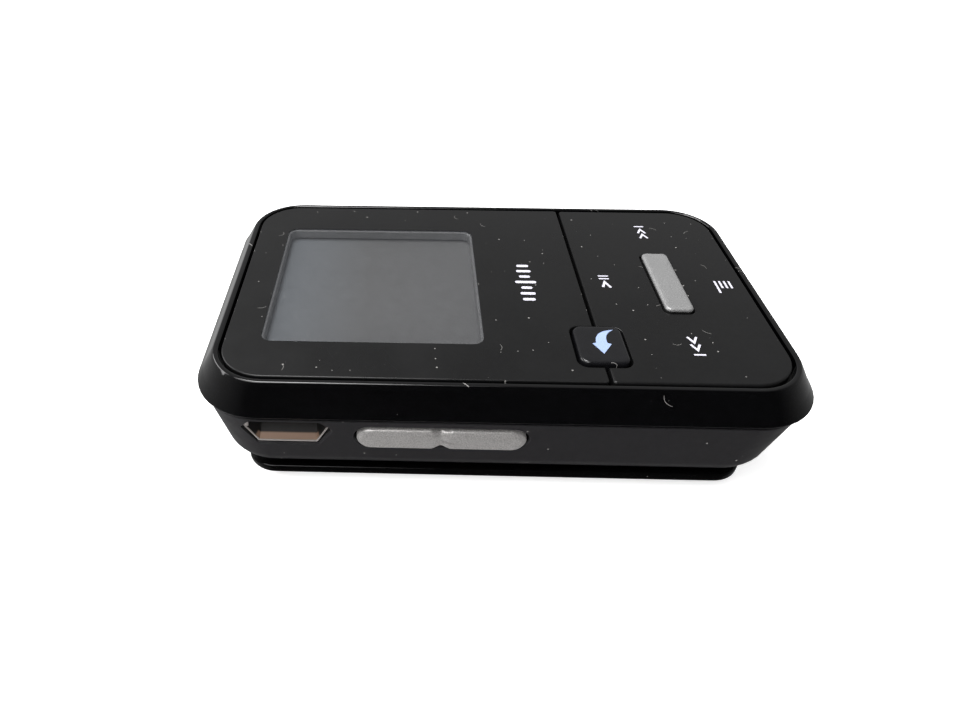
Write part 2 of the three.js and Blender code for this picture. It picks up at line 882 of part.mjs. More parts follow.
const finish = (color, roughness, metalness = 0) =>
  new THREE.MeshStandardMaterial({ color, roughness, metalness });

const glossBlack = finish(0x0a0a0b, 0.12);
const faceBlack = finish(0x141415, 0.3);
const satinBlack = finish(0x1d1c1f, 0.45);
const silver = finish(0xb4b4b6, 0.38, 0.9);
const steel = finish(0xa9abad, 0.3, 1);
const boardGreen = finish(0x12402a, 0.5);
const chipBlack = finish(0x1a1a1c, 0.6);
const foilSilver = finish(0xb9bcbf, 0.42, 0.8);
const displayGrey = finish(0x6c7076, 0.15);

const player = new THREE.Group();

function add(name, shape, material, parent = player, place = [0, 0, 0]) {
  const mesh = new THREE.Mesh(geometryOf(shape), material);
  mesh.name = name;
  mesh.position.set(...place);
  parent.add(mesh);
  return mesh;
}

// A group whose axes are those of a wall's frame.
function wallGroup(frame) {
  const group = new THREE.Group();
  frame.decompose(group.position, group.quaternion, group.scale);
  player.add(group);
  return group;
}

add("front_bezel", frontBezel(), glossBlack);
add("face_lens", faceLens(), faceBlack);
add("lens_tape", lensTape(), finish(0x0c0c0c, 0.8));
add("rear_shell", rearShell(), satinBlack);

const displayBottom = lensBottom - 0.2 - displayThickness;
const display = slab(displaySize, displaySize, 0.3, displayBottom, lensBottom - 0.2, windowX, 0);
add("display_module", display, displayGrey);
const foamTop = displayBottom - seatGap;
const foam = slab(displaySize - 2, displaySize - 2, 0.5, boardTop + seatGap, foamTop, windowX, 0);
add("display_foam", foam, finish(0x202022, 0.9));
add("display_flex", displayFlex(), finish(0xa86a22, 0.5));

add("main_board", mainBoard(), boardGreen);
const chips = [
  ["processor_chip", 8, 8, 1.0, keyEnd - 14.85, -6],
  ["memory_chip", 12, 9, 1.0, batteryX - batterySize[0] / 2 + 9.6, -5.5],
  ["charger_chip", 3, 3, 0.8, keyEnd - 8.85, 5],
  ["tuner_shield", 7.4, 10.8, 2.2, screenEnd + 11.55, -3.6],
];
for (const [name, length, width, height, x, y] of chips) {
  const material = name === "tuner_shield" ? steel : chipBlack;
  const hanging = chip(length, width, height);
  add(name, hanging, material, player, [x, y, underBoard - height]);
}
screwPlaces.forEach(([x, y], i) => {
  add(`board_screw_${i + 1}`, screw(), steel, player, [x, y, underBoard]);
});

add("usb_receptacle", usbReceptacle(), steel);
add("usb_tongue", usbTongue(), chipBlack);
add("headphone_jack", headphoneJack(), chipBlack);
add("jack_contact", jackContact(), finish(0xc9a24a, 0.35, 1));
add("card_socket", cardSocket(), steel);

add("battery_cell", batteryCell(), foilSilver);
add("battery_board", batteryBoard(), boardGreen);
const padSize = [batterySize[0] - 6, batterySize[1] - 6];
const foamBottom = shellBottom + shellWall + seatGap;
const batteryFoam = slab(...padSize, 1, foamBottom, batteryBottom - seatGap, batteryX, batteryY);
add("battery_foam", batteryFoam, finish(0x2a2a2c, 0.9));
add("battery_lead_red", batteryLead(batteryY - 5), finish(0xa01818, 0.5));
add("battery_lead_black", batteryLead(batteryY - 7), finish(0x121212, 0.5));

const domes = [
  ["select_dome", selectX, selectY],
  ["back_dome", seamX, backY],
  ["menu_dome", panelX + fourWayReach[0], 0],
  ["play_dome", panelX - fourWayReach[0], 0],
  ["next_dome", panelX, fourWayReach[1]],
  ["previous_dome", panelX, -fourWayReach[1]],
];
for (const [name, x, y] of domes) {
  add(name, dome(), steel, player, [x, y, boardTop + seatGap]);
}

add("key_pad", keyPad(), finish(0x3a3a3d, 0.7));
add("control_panel", controlPanel(), faceBlack);
add("select_button", selectButton(), silver);
add("back_button", backButton(), glossBlack);

const rockerGroup = wallGroup(rockerFrame);
add("volume_rocker", volumeRocker(), silver, rockerGroup);
const powerGroup = wallGroup(powerFrame);
add("power_button", powerButton(), silver, powerGroup);

// Each side switch's plunger stands just past the full throw of the key's peg.
const switchSize = [4.6, 2.2];
const pegTip = new THREE.Vector3(0, -pegHalf[1], pegEnd);
const volumeTip = pegTip.clone().applyMatrix4(rockerFrame);
const volumeThrow = (pegReach + pegHalf[0]) * Math.tan(THREE.MathUtils.degToRad(rockAngle));
for (const [name, side] of [["volume_up_switch", -1], ["volume_down_switch", 1]]) {
  const mesh = add(name, sideSwitch(...switchSize), chipBlack);
  mesh.rotation.z = Math.PI;
  mesh.position.set(rockerX + side * pegReach, volumeTip.y + volumeThrow + 2 * touch, underBoard);
}
const powerTip = pegTip.clone().applyMatrix4(powerFrame);
const powerSwitch = add("power_switch", sideSwitch(...switchSize), chipBlack);
powerSwitch.rotation.z = Math.PI / 2;
powerSwitch.position.set(powerTip.x + keyTravel + 2 * touch, 0, underBoard);

add("clip_plate", clipPlate(), glossBlack);
const pinHalf = bayWidth / 2 - 0.45;
add("clip_pin", alongY(pinRadius, -pinHalf, pinHalf, pinX, pinZ), steel);
add("clip_spring", clipSpring(), steel);

export default player;
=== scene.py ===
"""A clip-on digital audio player lying face up: the finished look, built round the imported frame."""

import json
import math

import bpy
import numpy as np
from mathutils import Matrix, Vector


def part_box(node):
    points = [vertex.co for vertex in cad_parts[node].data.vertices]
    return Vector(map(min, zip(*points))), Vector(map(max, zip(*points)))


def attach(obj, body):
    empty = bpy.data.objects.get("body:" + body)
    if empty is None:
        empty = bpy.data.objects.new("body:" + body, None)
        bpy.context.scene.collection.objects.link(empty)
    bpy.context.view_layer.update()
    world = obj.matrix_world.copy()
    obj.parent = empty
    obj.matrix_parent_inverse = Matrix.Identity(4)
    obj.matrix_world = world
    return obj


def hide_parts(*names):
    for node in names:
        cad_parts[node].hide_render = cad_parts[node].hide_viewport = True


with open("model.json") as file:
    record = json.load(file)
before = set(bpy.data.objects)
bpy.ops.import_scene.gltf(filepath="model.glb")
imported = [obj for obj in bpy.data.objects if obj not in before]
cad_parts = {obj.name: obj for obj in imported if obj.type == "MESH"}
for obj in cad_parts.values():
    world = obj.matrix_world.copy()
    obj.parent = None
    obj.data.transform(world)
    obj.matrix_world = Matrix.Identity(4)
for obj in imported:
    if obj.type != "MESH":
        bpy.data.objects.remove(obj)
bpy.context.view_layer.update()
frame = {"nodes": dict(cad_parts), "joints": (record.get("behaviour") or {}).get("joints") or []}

# ---------------------------------------------------------------- rear shell
# The rear shell is one deep moulding in fine satin charcoal plastic. Its walls lean in towards the
# back and carry the openings for the side keys and sockets. The hinge bay of the clip is sunk in it.

MM = 0.001


def extent(node):
    """Lowest and highest corner of a part of the frame, in millimetres."""
    return np.array(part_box(node)) / MM


def corners(length, width, radius, steps=12):
    """Rounded rectangle: each corner is an arc, centre + radius (cos a, sin a), anticlockwise."""
    turn = np.linspace(0, np.pi / 2, steps + 1) + np.arange(4)[:, None] * np.pi / 2
    side_x = np.array([1, -1, -1, 1])[:, None]
    side_y = np.array([1, 1, -1, -1])[:, None]
    x = side_x * (length / 2 - radius) + radius * np.cos(turn)
    y = side_y * (width / 2 - radius) + radius * np.sin(turn)
    return np.stack([x, y], -1).reshape(-1, 2)


def rounded(points, radii, steps=5, closed=True):
    """Outline whose corner p turns on an arc of radius r, which starts r / tan(angle / 2) from p."""
    points = np.array(points, float)
    radii = np.broadcast_to(np.array(radii, float), len(points))
    before = np.roll(points, 1, 0) - points
    after = np.roll(points, -1, 0) - points
    before /= np.linalg.norm(before, axis=1, keepdims=True)
    after /= np.linalg.norm(after, axis=1, keepdims=True)
    half = np.arccos(np.clip((before * after).sum(1), -1, 1)) / 2
    r = radii[:, None]
    middle = before + after
    middle /= np.linalg.norm(middle, axis=1, keepdims=True)
    centre = points + middle * r / np.sin(half)[:, None]
    first = points + before * r / np.tan(half)[:, None] - centre
    last = points + after * r / np.tan(half)[:, None] - centre
    sweep = (np.pi - 2 * half)[:, None]
    share = np.linspace(0, 1, steps + 1)
    a = (np.sin((1 - share) * sweep) / np.sin(sweep))[..., None] * first[:, None]
    b = (np.sin(share * sweep) / np.sin(sweep))[..., None] * last[:, None]
    arcs = centre[:, None] + a + b
    if closed:
        return arcs.reshape(-1, 2)
    return np.concatenate([points[:1], arcs[1:-1].reshape(-1, 2), points[-1:]])


def offset(outline, distance):
    """The outline moved in: each point slides by distance (m + n) / (1 + m.n) of its edge normals."""
    edge = np.roll(outline, -1, 0) - outline
    normal = np.stack([-edge[:, 1], edge[:, 0]], -1)
    normal /= np.linalg.norm(normal, axis=1, keepdims=True)
    other = np.roll(normal, 1, 0)
    return outline + distance * (normal + other) / (1 + (normal * other).sum(1, keepdims=True))


UP = np.eye(3)
NEAR = np.array([[1, 0, 0], [0, 0, 1], [0, -1, 0]])
ROUND_Y = np.array([[0, 0, 1], [1, 0, 0], [0, 1, 0]])


def linked(name, data):
    """An object of the data, linked into the scene."""
    made = bpy.data.objects.new(name, data)
    bpy.context.scene.collection.objects.link(made)
    return made


def skin(name, rings, basis=UP, origin=(0, 0, 0), tube=False):
    """Closed surface through rings of (u, v, w), lowest w first. A tube joins its last ring to its
    first; other surfaces end in flat caps. A point is origin + u, v, w along the basis, in mm."""
    rings = np.array(rings, float)
    count, size = rings.shape[:2]
    points = rings.reshape(-1, 3) @ basis + np.array(origin)
    ring = np.arange(count if tube else count - 1)[:, None] * size
    step = np.arange(size)
    a = ring + step
    b = ring + (step + 1) % size
    above = (ring + size) % (count * size)
    quads = np.stack([a, b, above + (step + 1) % size, above + step], -1).reshape(-1, 4)
    faces = quads.tolist()
    if not tube:
        faces.append(list(range(size))[::-1])
        faces.append(list(range((count - 1) * size, count * size)))
    mesh = bpy.data.meshes.new(name)
    mesh.from_pydata((points * MM).tolist(), [], faces)
    return linked(name, mesh)


def plate(name, outline, profile, basis=UP, origin=(0, 0, 0), tube=False):
    """An outline carried up a profile of (inset, height) pairs, one ring to a pair."""
    outline = np.array(outline, float)
    rings = [np.c_[offset(outline, inset), np.full(len(outline), w)] for inset, w in profile]
    return skin(name, rings, basis, origin, tube)


def edges(low, high, low_radius, high_radius, steps=5):
    """Profile of a slab whose edges are quarter rounds: inset r (1 - sin a), height r (1 - cos a)."""
    a = np.linspace(0, np.pi / 2, steps + 1)
    bottom = np.c_[low_radius * (1 - np.sin(a)), low + low_radius * (1 - np.cos(a))]
    top = np.c_[high_radius * (1 - np.sin(a)), high - high_radius * (1 - np.cos(a))]
    return np.concatenate([bottom, top[::-1]])


def circle(radius, steps=48):
    """Points radius (cos a, sin a)."""
    a = np.linspace(0, 2 * np.pi, steps, endpoint=False)
    return radius * np.stack([np.cos(a), np.sin(a)], -1)


def box_outline(x0, x1, y0, y1):
    return np.array([[x0, y0], [x1, y0], [x1, y1], [x0, y1]], float)


def moved(outline, x, y):
    return np.array(outline) + (x, y)


def settle(piece):
    """Applies a piece's modifiers, so that its mesh is final."""
    bpy.context.view_layer.update()
    evaluated = piece.evaluated_get(bpy.context.evaluated_depsgraph_get())
    mesh = bpy.data.meshes.new_from_object(evaluated)
    mesh.name = piece.name
    piece.modifiers.clear()
    piece.data = mesh
    return piece


def combine(piece, *tools, operation="DIFFERENCE"):
    """Cuts the tools from the piece, or joins them to it with operation UNION."""
    for tool in tools:
        boolean = piece.modifiers.new("boolean", "BOOLEAN")
        boolean.operation = operation
        boolean.solver = "EXACT"
        boolean.object = tool
        settle(piece)
        bpy.data.objects.remove(tool)
    return piece


def join(piece, *tools):
    return combine(piece, *tools, operation="UNION")


def smooth(piece, angle=32):
    """Soft shading that keeps edges sharper than the angle, with broad faces left flat."""
    piece.data.shade_smooth()
    piece.data.set_sharp_from_angle(angle=math.radians(angle))
    weighted = piece.modifiers.new("weighted", "WEIGHTED_NORMAL")
    weighted.keep_sharp = True
    return settle(piece)


def noise(tree, scale, stretch=(1, 1, 1), detail=3.0):
    """Noise on Object coordinates, with scale cells to a metre, drawn out where stretch is small."""
    coordinates = tree.nodes.new("ShaderNodeTexCoord")
    mapping = tree.nodes.new("ShaderNodeMapping")
    mapping.inputs["Scale"].default_value = stretch
    field = tree.nodes.new("ShaderNodeTexNoise")
    field.inputs["Scale"].default_value = scale
    field.inputs["Detail"].default_value = detail
    tree.links.new(coordinates.outputs["Object"], mapping.inputs["Vector"])
    tree.links.new(mapping.outputs["Vector"], field.inputs["Vector"])
    return field.outputs["Fac"]


def remap(tree, value, low, high, to_low, to_high):
    """Straight line from low..high to to_low..to_high, held at its ends."""
    node = tree.nodes.new("ShaderNodeMapRange")
    tree.links.new(value, node.inputs["Value"])
    ends = {"From Min": low, "From Max": high, "To Min": to_low, "To Max": to_high}
    for name, number in ends.items():
        node.inputs[name].default_value = number
    return node.outputs["Result"]


def math_node(tree, operation, a, b=0.0):
    node = tree.nodes.new("ShaderNodeMath")
    node.operation = operation
    for socket, value in zip(node.inputs, (a, b)):
        if isinstance(value, (int, float)):
            socket.default_value = value
        else:
            tree.links.new(value, socket)
    return node.outputs[0]


def times(tree, a, b):
    return math_node(tree, "MULTIPLY", a, b)


def mixed(tree, factor, a, b):
    """Colour a where the factor is 0 and b where it is 1. Each is a colour or a socket."""
    node = tree.nodes.new("ShaderNodeMix")
    node.data_type = "RGBA"
    tree.links.new(factor, node.inputs[0])
    for socket, value in zip((node.inputs[6], node.inputs[7]), (a, b)):
        if isinstance(value, tuple):
            socket.default_value = (*value, 1.0)
        else:
            tree.links.new(value, socket)
    return node.outputs[2]


def worn_edges(tree, radius, low, high):
    """1 along edges: how far the normal, rounded over radius, leans from the true one."""
    bevel = tree.nodes.new("ShaderNodeBevel")
    bevel.samples = 4
    bevel.inputs["Radius"].default_value = radius
    geometry = tree.nodes.new("ShaderNodeNewGeometry")
    dot = tree.nodes.new("ShaderNodeVectorMath")
    dot.operation = "DOT_PRODUCT"
    tree.links.new(bevel.outputs["Normal"], dot.inputs[0])
    tree.links.new(geometry.outputs["Normal"], dot.inputs[1])
    return remap(tree, dot.outputs["Value"], low, high, 1.0, 0.0)


def split(tree, vector=None):
    """X, Y and Z of a vector, or of Object coordinates where none is given."""
    if vector is None:
        vector = tree.nodes.new("ShaderNodeTexCoord").outputs["Object"]
    apart = tree.nodes.new("ShaderNodeSeparateXYZ")
    tree.links.new(vector, apart.inputs[0])
    return apart.outputs


def surface_point(tree, wall):
    """The two coordinates that run along the surface: x and y on a face, x + y and z on a wall."""
    if not wall:
        return tree.nodes.new("ShaderNodeTexCoord").outputs["Object"]
    x, y, z = split(tree)
    together = tree.nodes.new("ShaderNodeCombineXYZ")
    tree.links.new(math_node(tree, "ADD", x, y), together.inputs[0])
    tree.links.new(z, together.inputs[1])
    return together.outputs[0]


def cells(tree, point, per_metre, seed):
    """Random cells in a plane: (offset from the cell's seed point, in cells, and its random colour)."""
    mapping = tree.nodes.new("ShaderNodeMapping")
    mapping.inputs["Scale"].default_value = (per_metre, per_metre, per_metre)
    mapping.inputs["Location"].default_value = (seed, 0.37 * seed, 0)
    tree.links.new(point, mapping.inputs["Vector"])
    field = tree.nodes.new("ShaderNodeTexVoronoi")
    field.voronoi_dimensions = "2D"
    field.inputs["Scale"].default_value = 1.0
    tree.links.new(mapping.outputs["Vector"], field.inputs["Vector"])
    away = tree.nodes.new("ShaderNodeVectorMath")
    away.operation = "SUBTRACT"
    tree.links.new(mapping.outputs["Vector"], away.inputs[0])
    tree.links.new(field.outputs["Position"], away.inputs[1])
    chance = tree.nodes.new("ShaderNodeSeparateColor")
    tree.links.new(field.outputs["Color"], chance.inputs[0])
    return away.outputs[0], field.outputs["Distance"], chance.outputs


def specks(tree, wall, per_metre, share, size, seed=3.0):
    """Dust: a dot of up to size, in cells, at the seed point of a share of the cells."""
    point = surface_point(tree, wall)
    _, distance, chance = cells(tree, point, per_metre, seed)
    radius = times(tree, chance[1], size)
    dot = math_node(tree, "LESS_THAN", distance, radius)
    return times(tree, dot, math_node(tree, "GREATER_THAN", chance[0], 1 - share))


def fibres(tree, wall, per_metre, share, length, width, seed=11.0):
    """Lint: in a share of the cells a turned arc, |y - k x x| below width while |x| is below length."""
    point = surface_point(tree, wall)
    away, _, chance = cells(tree, point, per_metre, seed)
    turn = tree.nodes.new("ShaderNodeVectorRotate")
    turn.rotation_type = "Z_AXIS"
    tree.links.new(away, turn.inputs["Vector"])
    tree.links.new(times(tree, chance[1], 2 * math.pi), turn.inputs["Angle"])
    x, y, _ = split(tree, turn.outputs[0])
    run = math_node(tree, "ABSOLUTE", x)
    bend = times(tree, math_node(tree, "SUBTRACT", chance[2], 0.4), 1.3 / length)
    arc = times(tree, math_node(tree, "POWER", run, 2.0), bend)
    beside = math_node(tree, "ABSOLUTE", math_node(tree, "SUBTRACT", y, arc))
    near = math_node(tree, "LESS_THAN", beside, width)
    within = times(tree, near, math_node(tree, "LESS_THAN", run, length))
    return times(tree, within, math_node(tree, "GREATER_THAN", chance[0], 1 - share))


DUST = (0.30, 0.29, 0.28)


def finish(name, base, roughness, metallic=0.0, grain=2500.0, stretch=(1, 1, 1), tone=0.12,
           spread=0.05, bump=0.05, dust=0.0, wall=False, wear=None, wear_radius=0.00012,
           specular=0.5, cloud=0.3):
    """A surface whose colour, roughness and height follow noise of the given grain. Dust is the
    share of cells with a speck, wear the colour that shows where edges are rubbed, and cloud the
    weight of the broad noise."""
    made = bpy.data.materials.new(name)
    made.use_nodes = True
    tree = made.node_tree
    shader = tree.nodes["Principled BSDF"]
    shader.inputs["Metallic"].default_value = metallic
    shader.inputs["Specular IOR Level"].default_value = specular
    fine = noise(tree, grain, stretch, 4.0)
    broad = noise(tree, grain / 14, stretch, 2.0)
    dark = tuple(c * (1 - tone) for c in base)
    light = tuple(c * (1 + tone) for c in base)
    grains = times(tree, fine, 1 - cloud)
    both = math_node(tree, "ADD", grains, times(tree, broad, cloud))
    colour = mixed(tree, remap(tree, both, 0.35, 0.65, 0.0, 1.0), dark, light)
    rough = remap(tree, broad, 0.3, 0.7, roughness - spread, roughness + spread)
    if wear:
        patches = remap(tree, broad, 0.4, 0.6, 0.35, 0.9)
        rubbed = times(tree, worn_edges(tree, wear_radius, 0.75, 0.97), patches)
        colour = mixed(tree, rubbed, colour, wear)
    if dust:
        spots = specks(tree, wall, 650.0, dust, 0.06)
        lint = fibres(tree, wall, 300.0, 0.5 * dust, 0.13, 0.007)
        fainter = times(tree, lint, 0.7)
        dirt = times(tree, math_node(tree, "MAXIMUM", spots, fainter), 0.75)
        colour = mixed(tree, dirt, colour, DUST)
        rough = math_node(tree, "MAXIMUM", rough, times(tree, dirt, 0.8))
    tree.links.new(colour, shader.inputs["Base Color"])
    tree.links.new(rough, shader.inputs["Roughness"])
    raised = tree.nodes.new("ShaderNodeBump")
    raised.inputs["Strength"].default_value = bump
    raised.inputs["Distance"].default_value = 0.00002
    tree.links.new(fine, raised.inputs["Height"])
    tree.links.new(raised.outputs["Normal"], shader.inputs["Normal"])
    return made


joints = {joint["name"]: joint for joint in frame["joints"]}
bezel_low, bezel_high = extent("front_bezel")
shell_low, shell_high = extent("rear_shell")
pin_low, pin_high = extent("clip_pin")
body_length, body_width = (bezel_high - bezel_low)[:2]
parting_gap = 0.3
parting_z = bezel_low[2]
shell_top = parting_z - parting_gap
shell_bottom = shell_low[2]
face_z = bezel_high[2]

wall_up = np.array(joints["volume_rock"]["axis"])
wall_up /= np.linalg.norm(wall_up)
lean = -wall_up[1] / wall_up[2]
NEAR_WALL = np.array([[1, 0, 0], wall_up, [0, -wall_up[2], wall_up[1]]])
END_WALL = np.array([[0, -1, 0], [wall_up[1], 0, wall_up[2]], [-wall_up[2], 0, wall_up[1]]])
key_depth = 2.65
rocker_middle = np.array(joints["volume_rock"]["pos_m"]) / MM + key_depth * NEAR_WALL[2]
top_inset = 0.5


def wall_inset(z):
    """How far in from the widest line the leaning wall stands at height z."""
    return top_inset + (shell_top - z) * lean


power_middle = np.array([wall_inset(rocker_middle[2]) - body_length / 2, 0, rocker_middle[2]])


def body_ring(inset, z, radius):
    outline = corners(body_length - 2 * inset, body_width - 2 * inset, radius)
    return np.c_[outline, np.full(len(outline), z)]


shell_points = [
    (7.0, shell_bottom),
    (wall_inset(shell_bottom), shell_bottom),
    (top_inset, shell_top),
    (2.2, shell_top),
]
shell_profile = rounded(shell_points, [0, 3.4, 0.1, 0], steps=12, closed=False)
shell_radius = np.interp(shell_profile[:, 0], [0.5, 1.68, 3.9, 7.0], [5.9, 4.9, 4.0, 3.0])
rear_shell = skin(
    "satin_rear_shell", [body_ring(i, z, r) for (i, z), r in zip(shell_profile, shell_radius)]
)
lip = skin("lip", [body_ring(1.85, z, 4.4) for z in (shell_top - 0.5, shell_high[2])])
hollow_sections = [
    (4.4, 4.4, 3.4),
    (3.35, 5.2, 3.6),
    (2.95, 6.2, 3.8),
    (2.45, shell_top - 1.6, 3.9),
    (2.45, face_z, 3.9),
]
hollow = skin("hollow", [body_ring(*section) for section in hollow_sections])

pin_x = (pin_low[0] + pin_high[0]) / 2
pin_z = (pin_low[2] + pin_high[2]) / 2
bay_half = 1.75
bay_reach = 10.5
bay_top = pin_z + 1.7
bay_roof = plate(
    "bay_roof",
    box_outline(pin_x - bay_half - 1, pin_x + bay_half + 1, -bay_reach - 1, bay_reach + 1),
    [(0, shell_bottom + 0.5), (0, bay_top + 1)],
)
bay = plate(
    "bay",
    rounded(box_outline(pin_x - bay_half, pin_x + bay_half, -bay_reach, bay_reach), 0.4),
    [(0, shell_bottom - 1), (0, bay_top)],
)


def side_bar(length, height, waist=0.0, steps=16):
    """Outline of a bar with half-round ends, and the point on its middle line that each point faces.
    A waist takes w exp(-(u / 0.75)^4) from its half height."""
    half = (length - height) / 2
    a = np.linspace(-np.pi / 2, np.pi / 2, steps + 1)
    right = np.stack([half + height / 2 * np.cos(a), height / 2 * np.sin(a)], -1)
    run = np.linspace(half, -half, 8 * steps)[1:-1]
    side = height / 2 - waist * np.exp(-((run / 0.75) ** 4))
    top = np.stack([run, side], -1)
    outline = np.concatenate([right, top, -right, -top])
    return outline, np.stack([np.clip(outline[:, 0], -half, half), 0 * outline[:, 0]], -1)


rocker_size = (15.7, 2.85)
power_size = (7.0, 2.2)
slot_gap = 0.25
slot_profile = [(0, -4), (0, -0.12), (-0.12, 0), (-0.12, 1.5)]
rocker_slot_outline, _ = side_bar(rocker_size[0] + 2 * slot_gap, rocker_size[1] + 2 * slot_gap)
power_slot_outline, _ = side_bar(power_size[0] + 2 * slot_gap, power_size[1] + 2 * slot_gap)
rocker_slot = plate("slot", rocker_slot_outline, slot_profile, NEAR_WALL, rocker_middle)
power_slot = plate("slot", power_slot_outline, slot_profile, END_WALL, power_middle)

usb_low, usb_high = extent("usb_receptacle")
usb_x = (usb_low[0] + usb_high[0]) / 2
usb_points = [
    (usb_x - 2.85, shell_top - 3.85),
    (usb_x + 2.85, shell_top - 3.85),
    (usb_x + 4.25, shell_top - 1.55),
    (usb_x + 3.15, shell_top - 0.4),
    (usb_x - 3.15, shell_top - 0.4),
    (usb_x - 4.25, shell_top - 1.55),
]
usb_outline = rounded(usb_points, [0.35, 0.35, 0.3, 0.25, 0.25, 0.3])
usb_hole = plate("usb_hole", usb_outline, [(0, body_width / 2 - 4), (0, body_width / 2 + 1)], NEAR)
usb_flare = plate(
    "usb_flare",
    (usb_outline - (0, shell_top)) / (1, wall_up[2]),
    [(0.03, -0.21), (-0.21, 0.03), (-0.21, 1)],
    NEAR_WALL,
    (0, top_inset - body_width / 2, shell_top),
)

jack_low, jack_high = extent("headphone_jack")
jack_x = (jack_low[0] + jack_high[0]) / 2
jack_z = jack_high[2] - 2.55
jack_hole = plate("jack_hole", circle(2.5), [(0, 13), (0, 19)], ROUND_Y, (jack_x, 0, jack_z))
card_low, card_high = extent("card_socket")
card_x = (card_low[0] + card_high[0]) / 2
card_z = card_high[2] - 0.95
card_outline = rounded(box_outline(card_x - 6, card_x + 6, card_z - 0.85, card_z + 0.85), 0.3)
card_slot = plate("card_slot", card_outline, [(0, -19), (0, -14)], NEAR)

join(rear_shell, lip)
combine(rear_shell, hollow)
join(rear_shell, bay_roof)
combine(rear_shell, bay)
pin_line = (pin_x, 0, pin_z)
lug_radius = 1.3
for y0, y1 in ((-bay_reach - 0.1, 2.2 - bay_reach), (bay_reach - 2.2, bay_reach + 0.1)):
    post = plate(
        "post",
        box_outline(pin_x - lug_radius + 0.03, pin_x + lug_radius - 0.03, y0 + 0.02, y1 - 0.02),
        [(0, pin_z), (0, bay_top + 0.1)],
    )
    eye = plate("eye", circle(lug_radius), [(0, y0), (0, y1)], ROUND_Y, pin_line)
    join(rear_shell, post, eye)
bore_radius = 0.85
bore_reach = bay_reach - 0.3
pin_bore = plate("pin_bore", circle(bore_radius), [(0, -bore_reach), (0, bore_reach)], ROUND_Y, pin_line)
combine(rear_shell, pin_bore, rocker_slot, power_slot, usb_hole, usb_flare, jack_hole, card_slot)
smooth(rear_shell)
satin_charcoal = finish(
    "satin_charcoal", (0.0115, 0.0109, 0.0122), 0.42, grain=9000, bump=0.35, dust=0.12, wall=True,
    wear=(0.05, 0.049, 0.052), specular=0.45,
)
rear_shell.data.materials.append(satin_charcoal)
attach(rear_shell, "housing")
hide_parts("rear_shell")

# ---------------------------------------------------------------- front bezel
# The bezel is a polished piano black frame. It swells just above the parting line, slopes in to a
# thin rounded rim, and its deck inside the rim carries the lens and, on bosses below, the board.

deck_top = extent("lens_tape")[0][2] - 0.05
deck_bottom = deck_top - 0.6
bezel_points = [
    (2.4, parting_z),
    (0.5, parting_z),
    (0.0, parting_z + 0.42),
    (0.0, parting_z + 0.62),
    (0.62, parting_z + 1.5),
    (1.5, face_z - 0.3),
    (1.72, face_z),
    (3.4, face_z),
]
bezel_profile = rounded(bezel_points, [0, 0.12, 0.2, 0.25, 0.9, 0.35, 0.16, 0], closed=False)
bezel_radius = np.interp(bezel_profile[:, 0], [0.0, 0.7, 1.55, 3.4], [6.4, 5.95, 5.4, 4.2])
bezel = skin(
    "gloss_bezel", [body_ring(i, z, r) for (i, z), r in zip(bezel_profile, bezel_radius)]
)
recess_inset = 2.2
rim_round = 0.16
a = np.linspace(0, np.pi / 2, 6)
recess_profile = [(0.0, deck_top)] + list(
    zip(-rim_round * (1 - np.cos(a)), face_z - rim_round + rim_round * np.sin(a))
)
recess_profile.append((-rim_round, face_z + 1))
recess_outline = corners(body_length - 2 * recess_inset, body_width - 2 * recess_inset, 4.7)
recess = plate("recess", recess_outline, recess_profile)
skirt = skin("skirt", [body_ring(1.6, z, 4.6) for z in (parting_z - 1, deck_bottom)])

through = [(0, deck_bottom - 1), (0, face_z + 1)]
display_low, display_high = extent("display_module")
display_x = (display_low[0] + display_high[0]) / 2
display_size = display_high[0] - display_low[0]
room_size = display_size + 0.3
display_room = plate("display_room", moved(corners(room_size, room_size, 0.6), display_x, 0), through)
panel_low, panel_high = extent("control_panel")
panel_x = (panel_low[0] + panel_high[0]) / 2
lens_low, lens_high = extent("face_lens")
seam_x = (lens_high[0] + panel_low[0]) / 2
back_low, back_high = extent("back_button")
back_x, back_y = (back_low + back_high)[:2] / 2
key_room = plate(
    "key_room",
    box_outline(seam_x + 1, panel_high[0] - 0.75, 4.05 - body_width / 2, body_width / 2 - 4.05),
    through,
)
flange_room = plate("flange_room", moved(corners(6.6, 7.6, 0.8), back_x, back_y), through)
room_outline = offset(recess_outline, 0.05)
room_half = body_width / 2 - recess_inset - 0.05
room_side = [[seam_x, room_half], [seam_x, -room_half]]
panel_room = plate(
    "panel_room",
    np.concatenate([room_outline[39:], room_outline[:13], room_side]),
    [(0, deck_top - 0.35), (0, face_z + 1)],
)
combine(bezel, recess, skirt, display_room, key_room, flange_room, panel_room)
for number in range(1, 5):
    screw_low, screw_high = extent(f"board_screw_{number}")
    screw_x, screw_y = (screw_low + screw_high)[:2] / 2
    boss_bottom = deck_bottom - 0.9
    boss = plate(
        "boss", moved(circle(1.3, 24), screw_x, screw_y), [(0, boss_bottom), (0, deck_bottom + 0.1)]
    )
    pilot = plate(
        "pilot", moved(circle(0.85, 24), screw_x, screw_y), [(0, boss_bottom - 1), (0, deck_bottom)]
    )
    join(bezel, boss)
    combine(bezel, pilot)
smooth(bezel)
piano_black = finish(
    "piano_black", (0.0010, 0.0010, 0.0012), 0.09, grain=1200, tone=0.2, spread=0.03, bump=0.01,
    dust=0.09, wall=True, wear=(0.012, 0.012, 0.013), specular=0.5,
)
bezel.data.materials.append(piano_black)
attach(bezel, "housing")
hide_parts("front_bezel")

# ---------------------------------------------------------------- face lens
# The lens is a clear acrylic plate printed black on its back, all but a square window. The printed
# surround, the clear pane and the bright wall of the window are modelled as three fitted pieces.

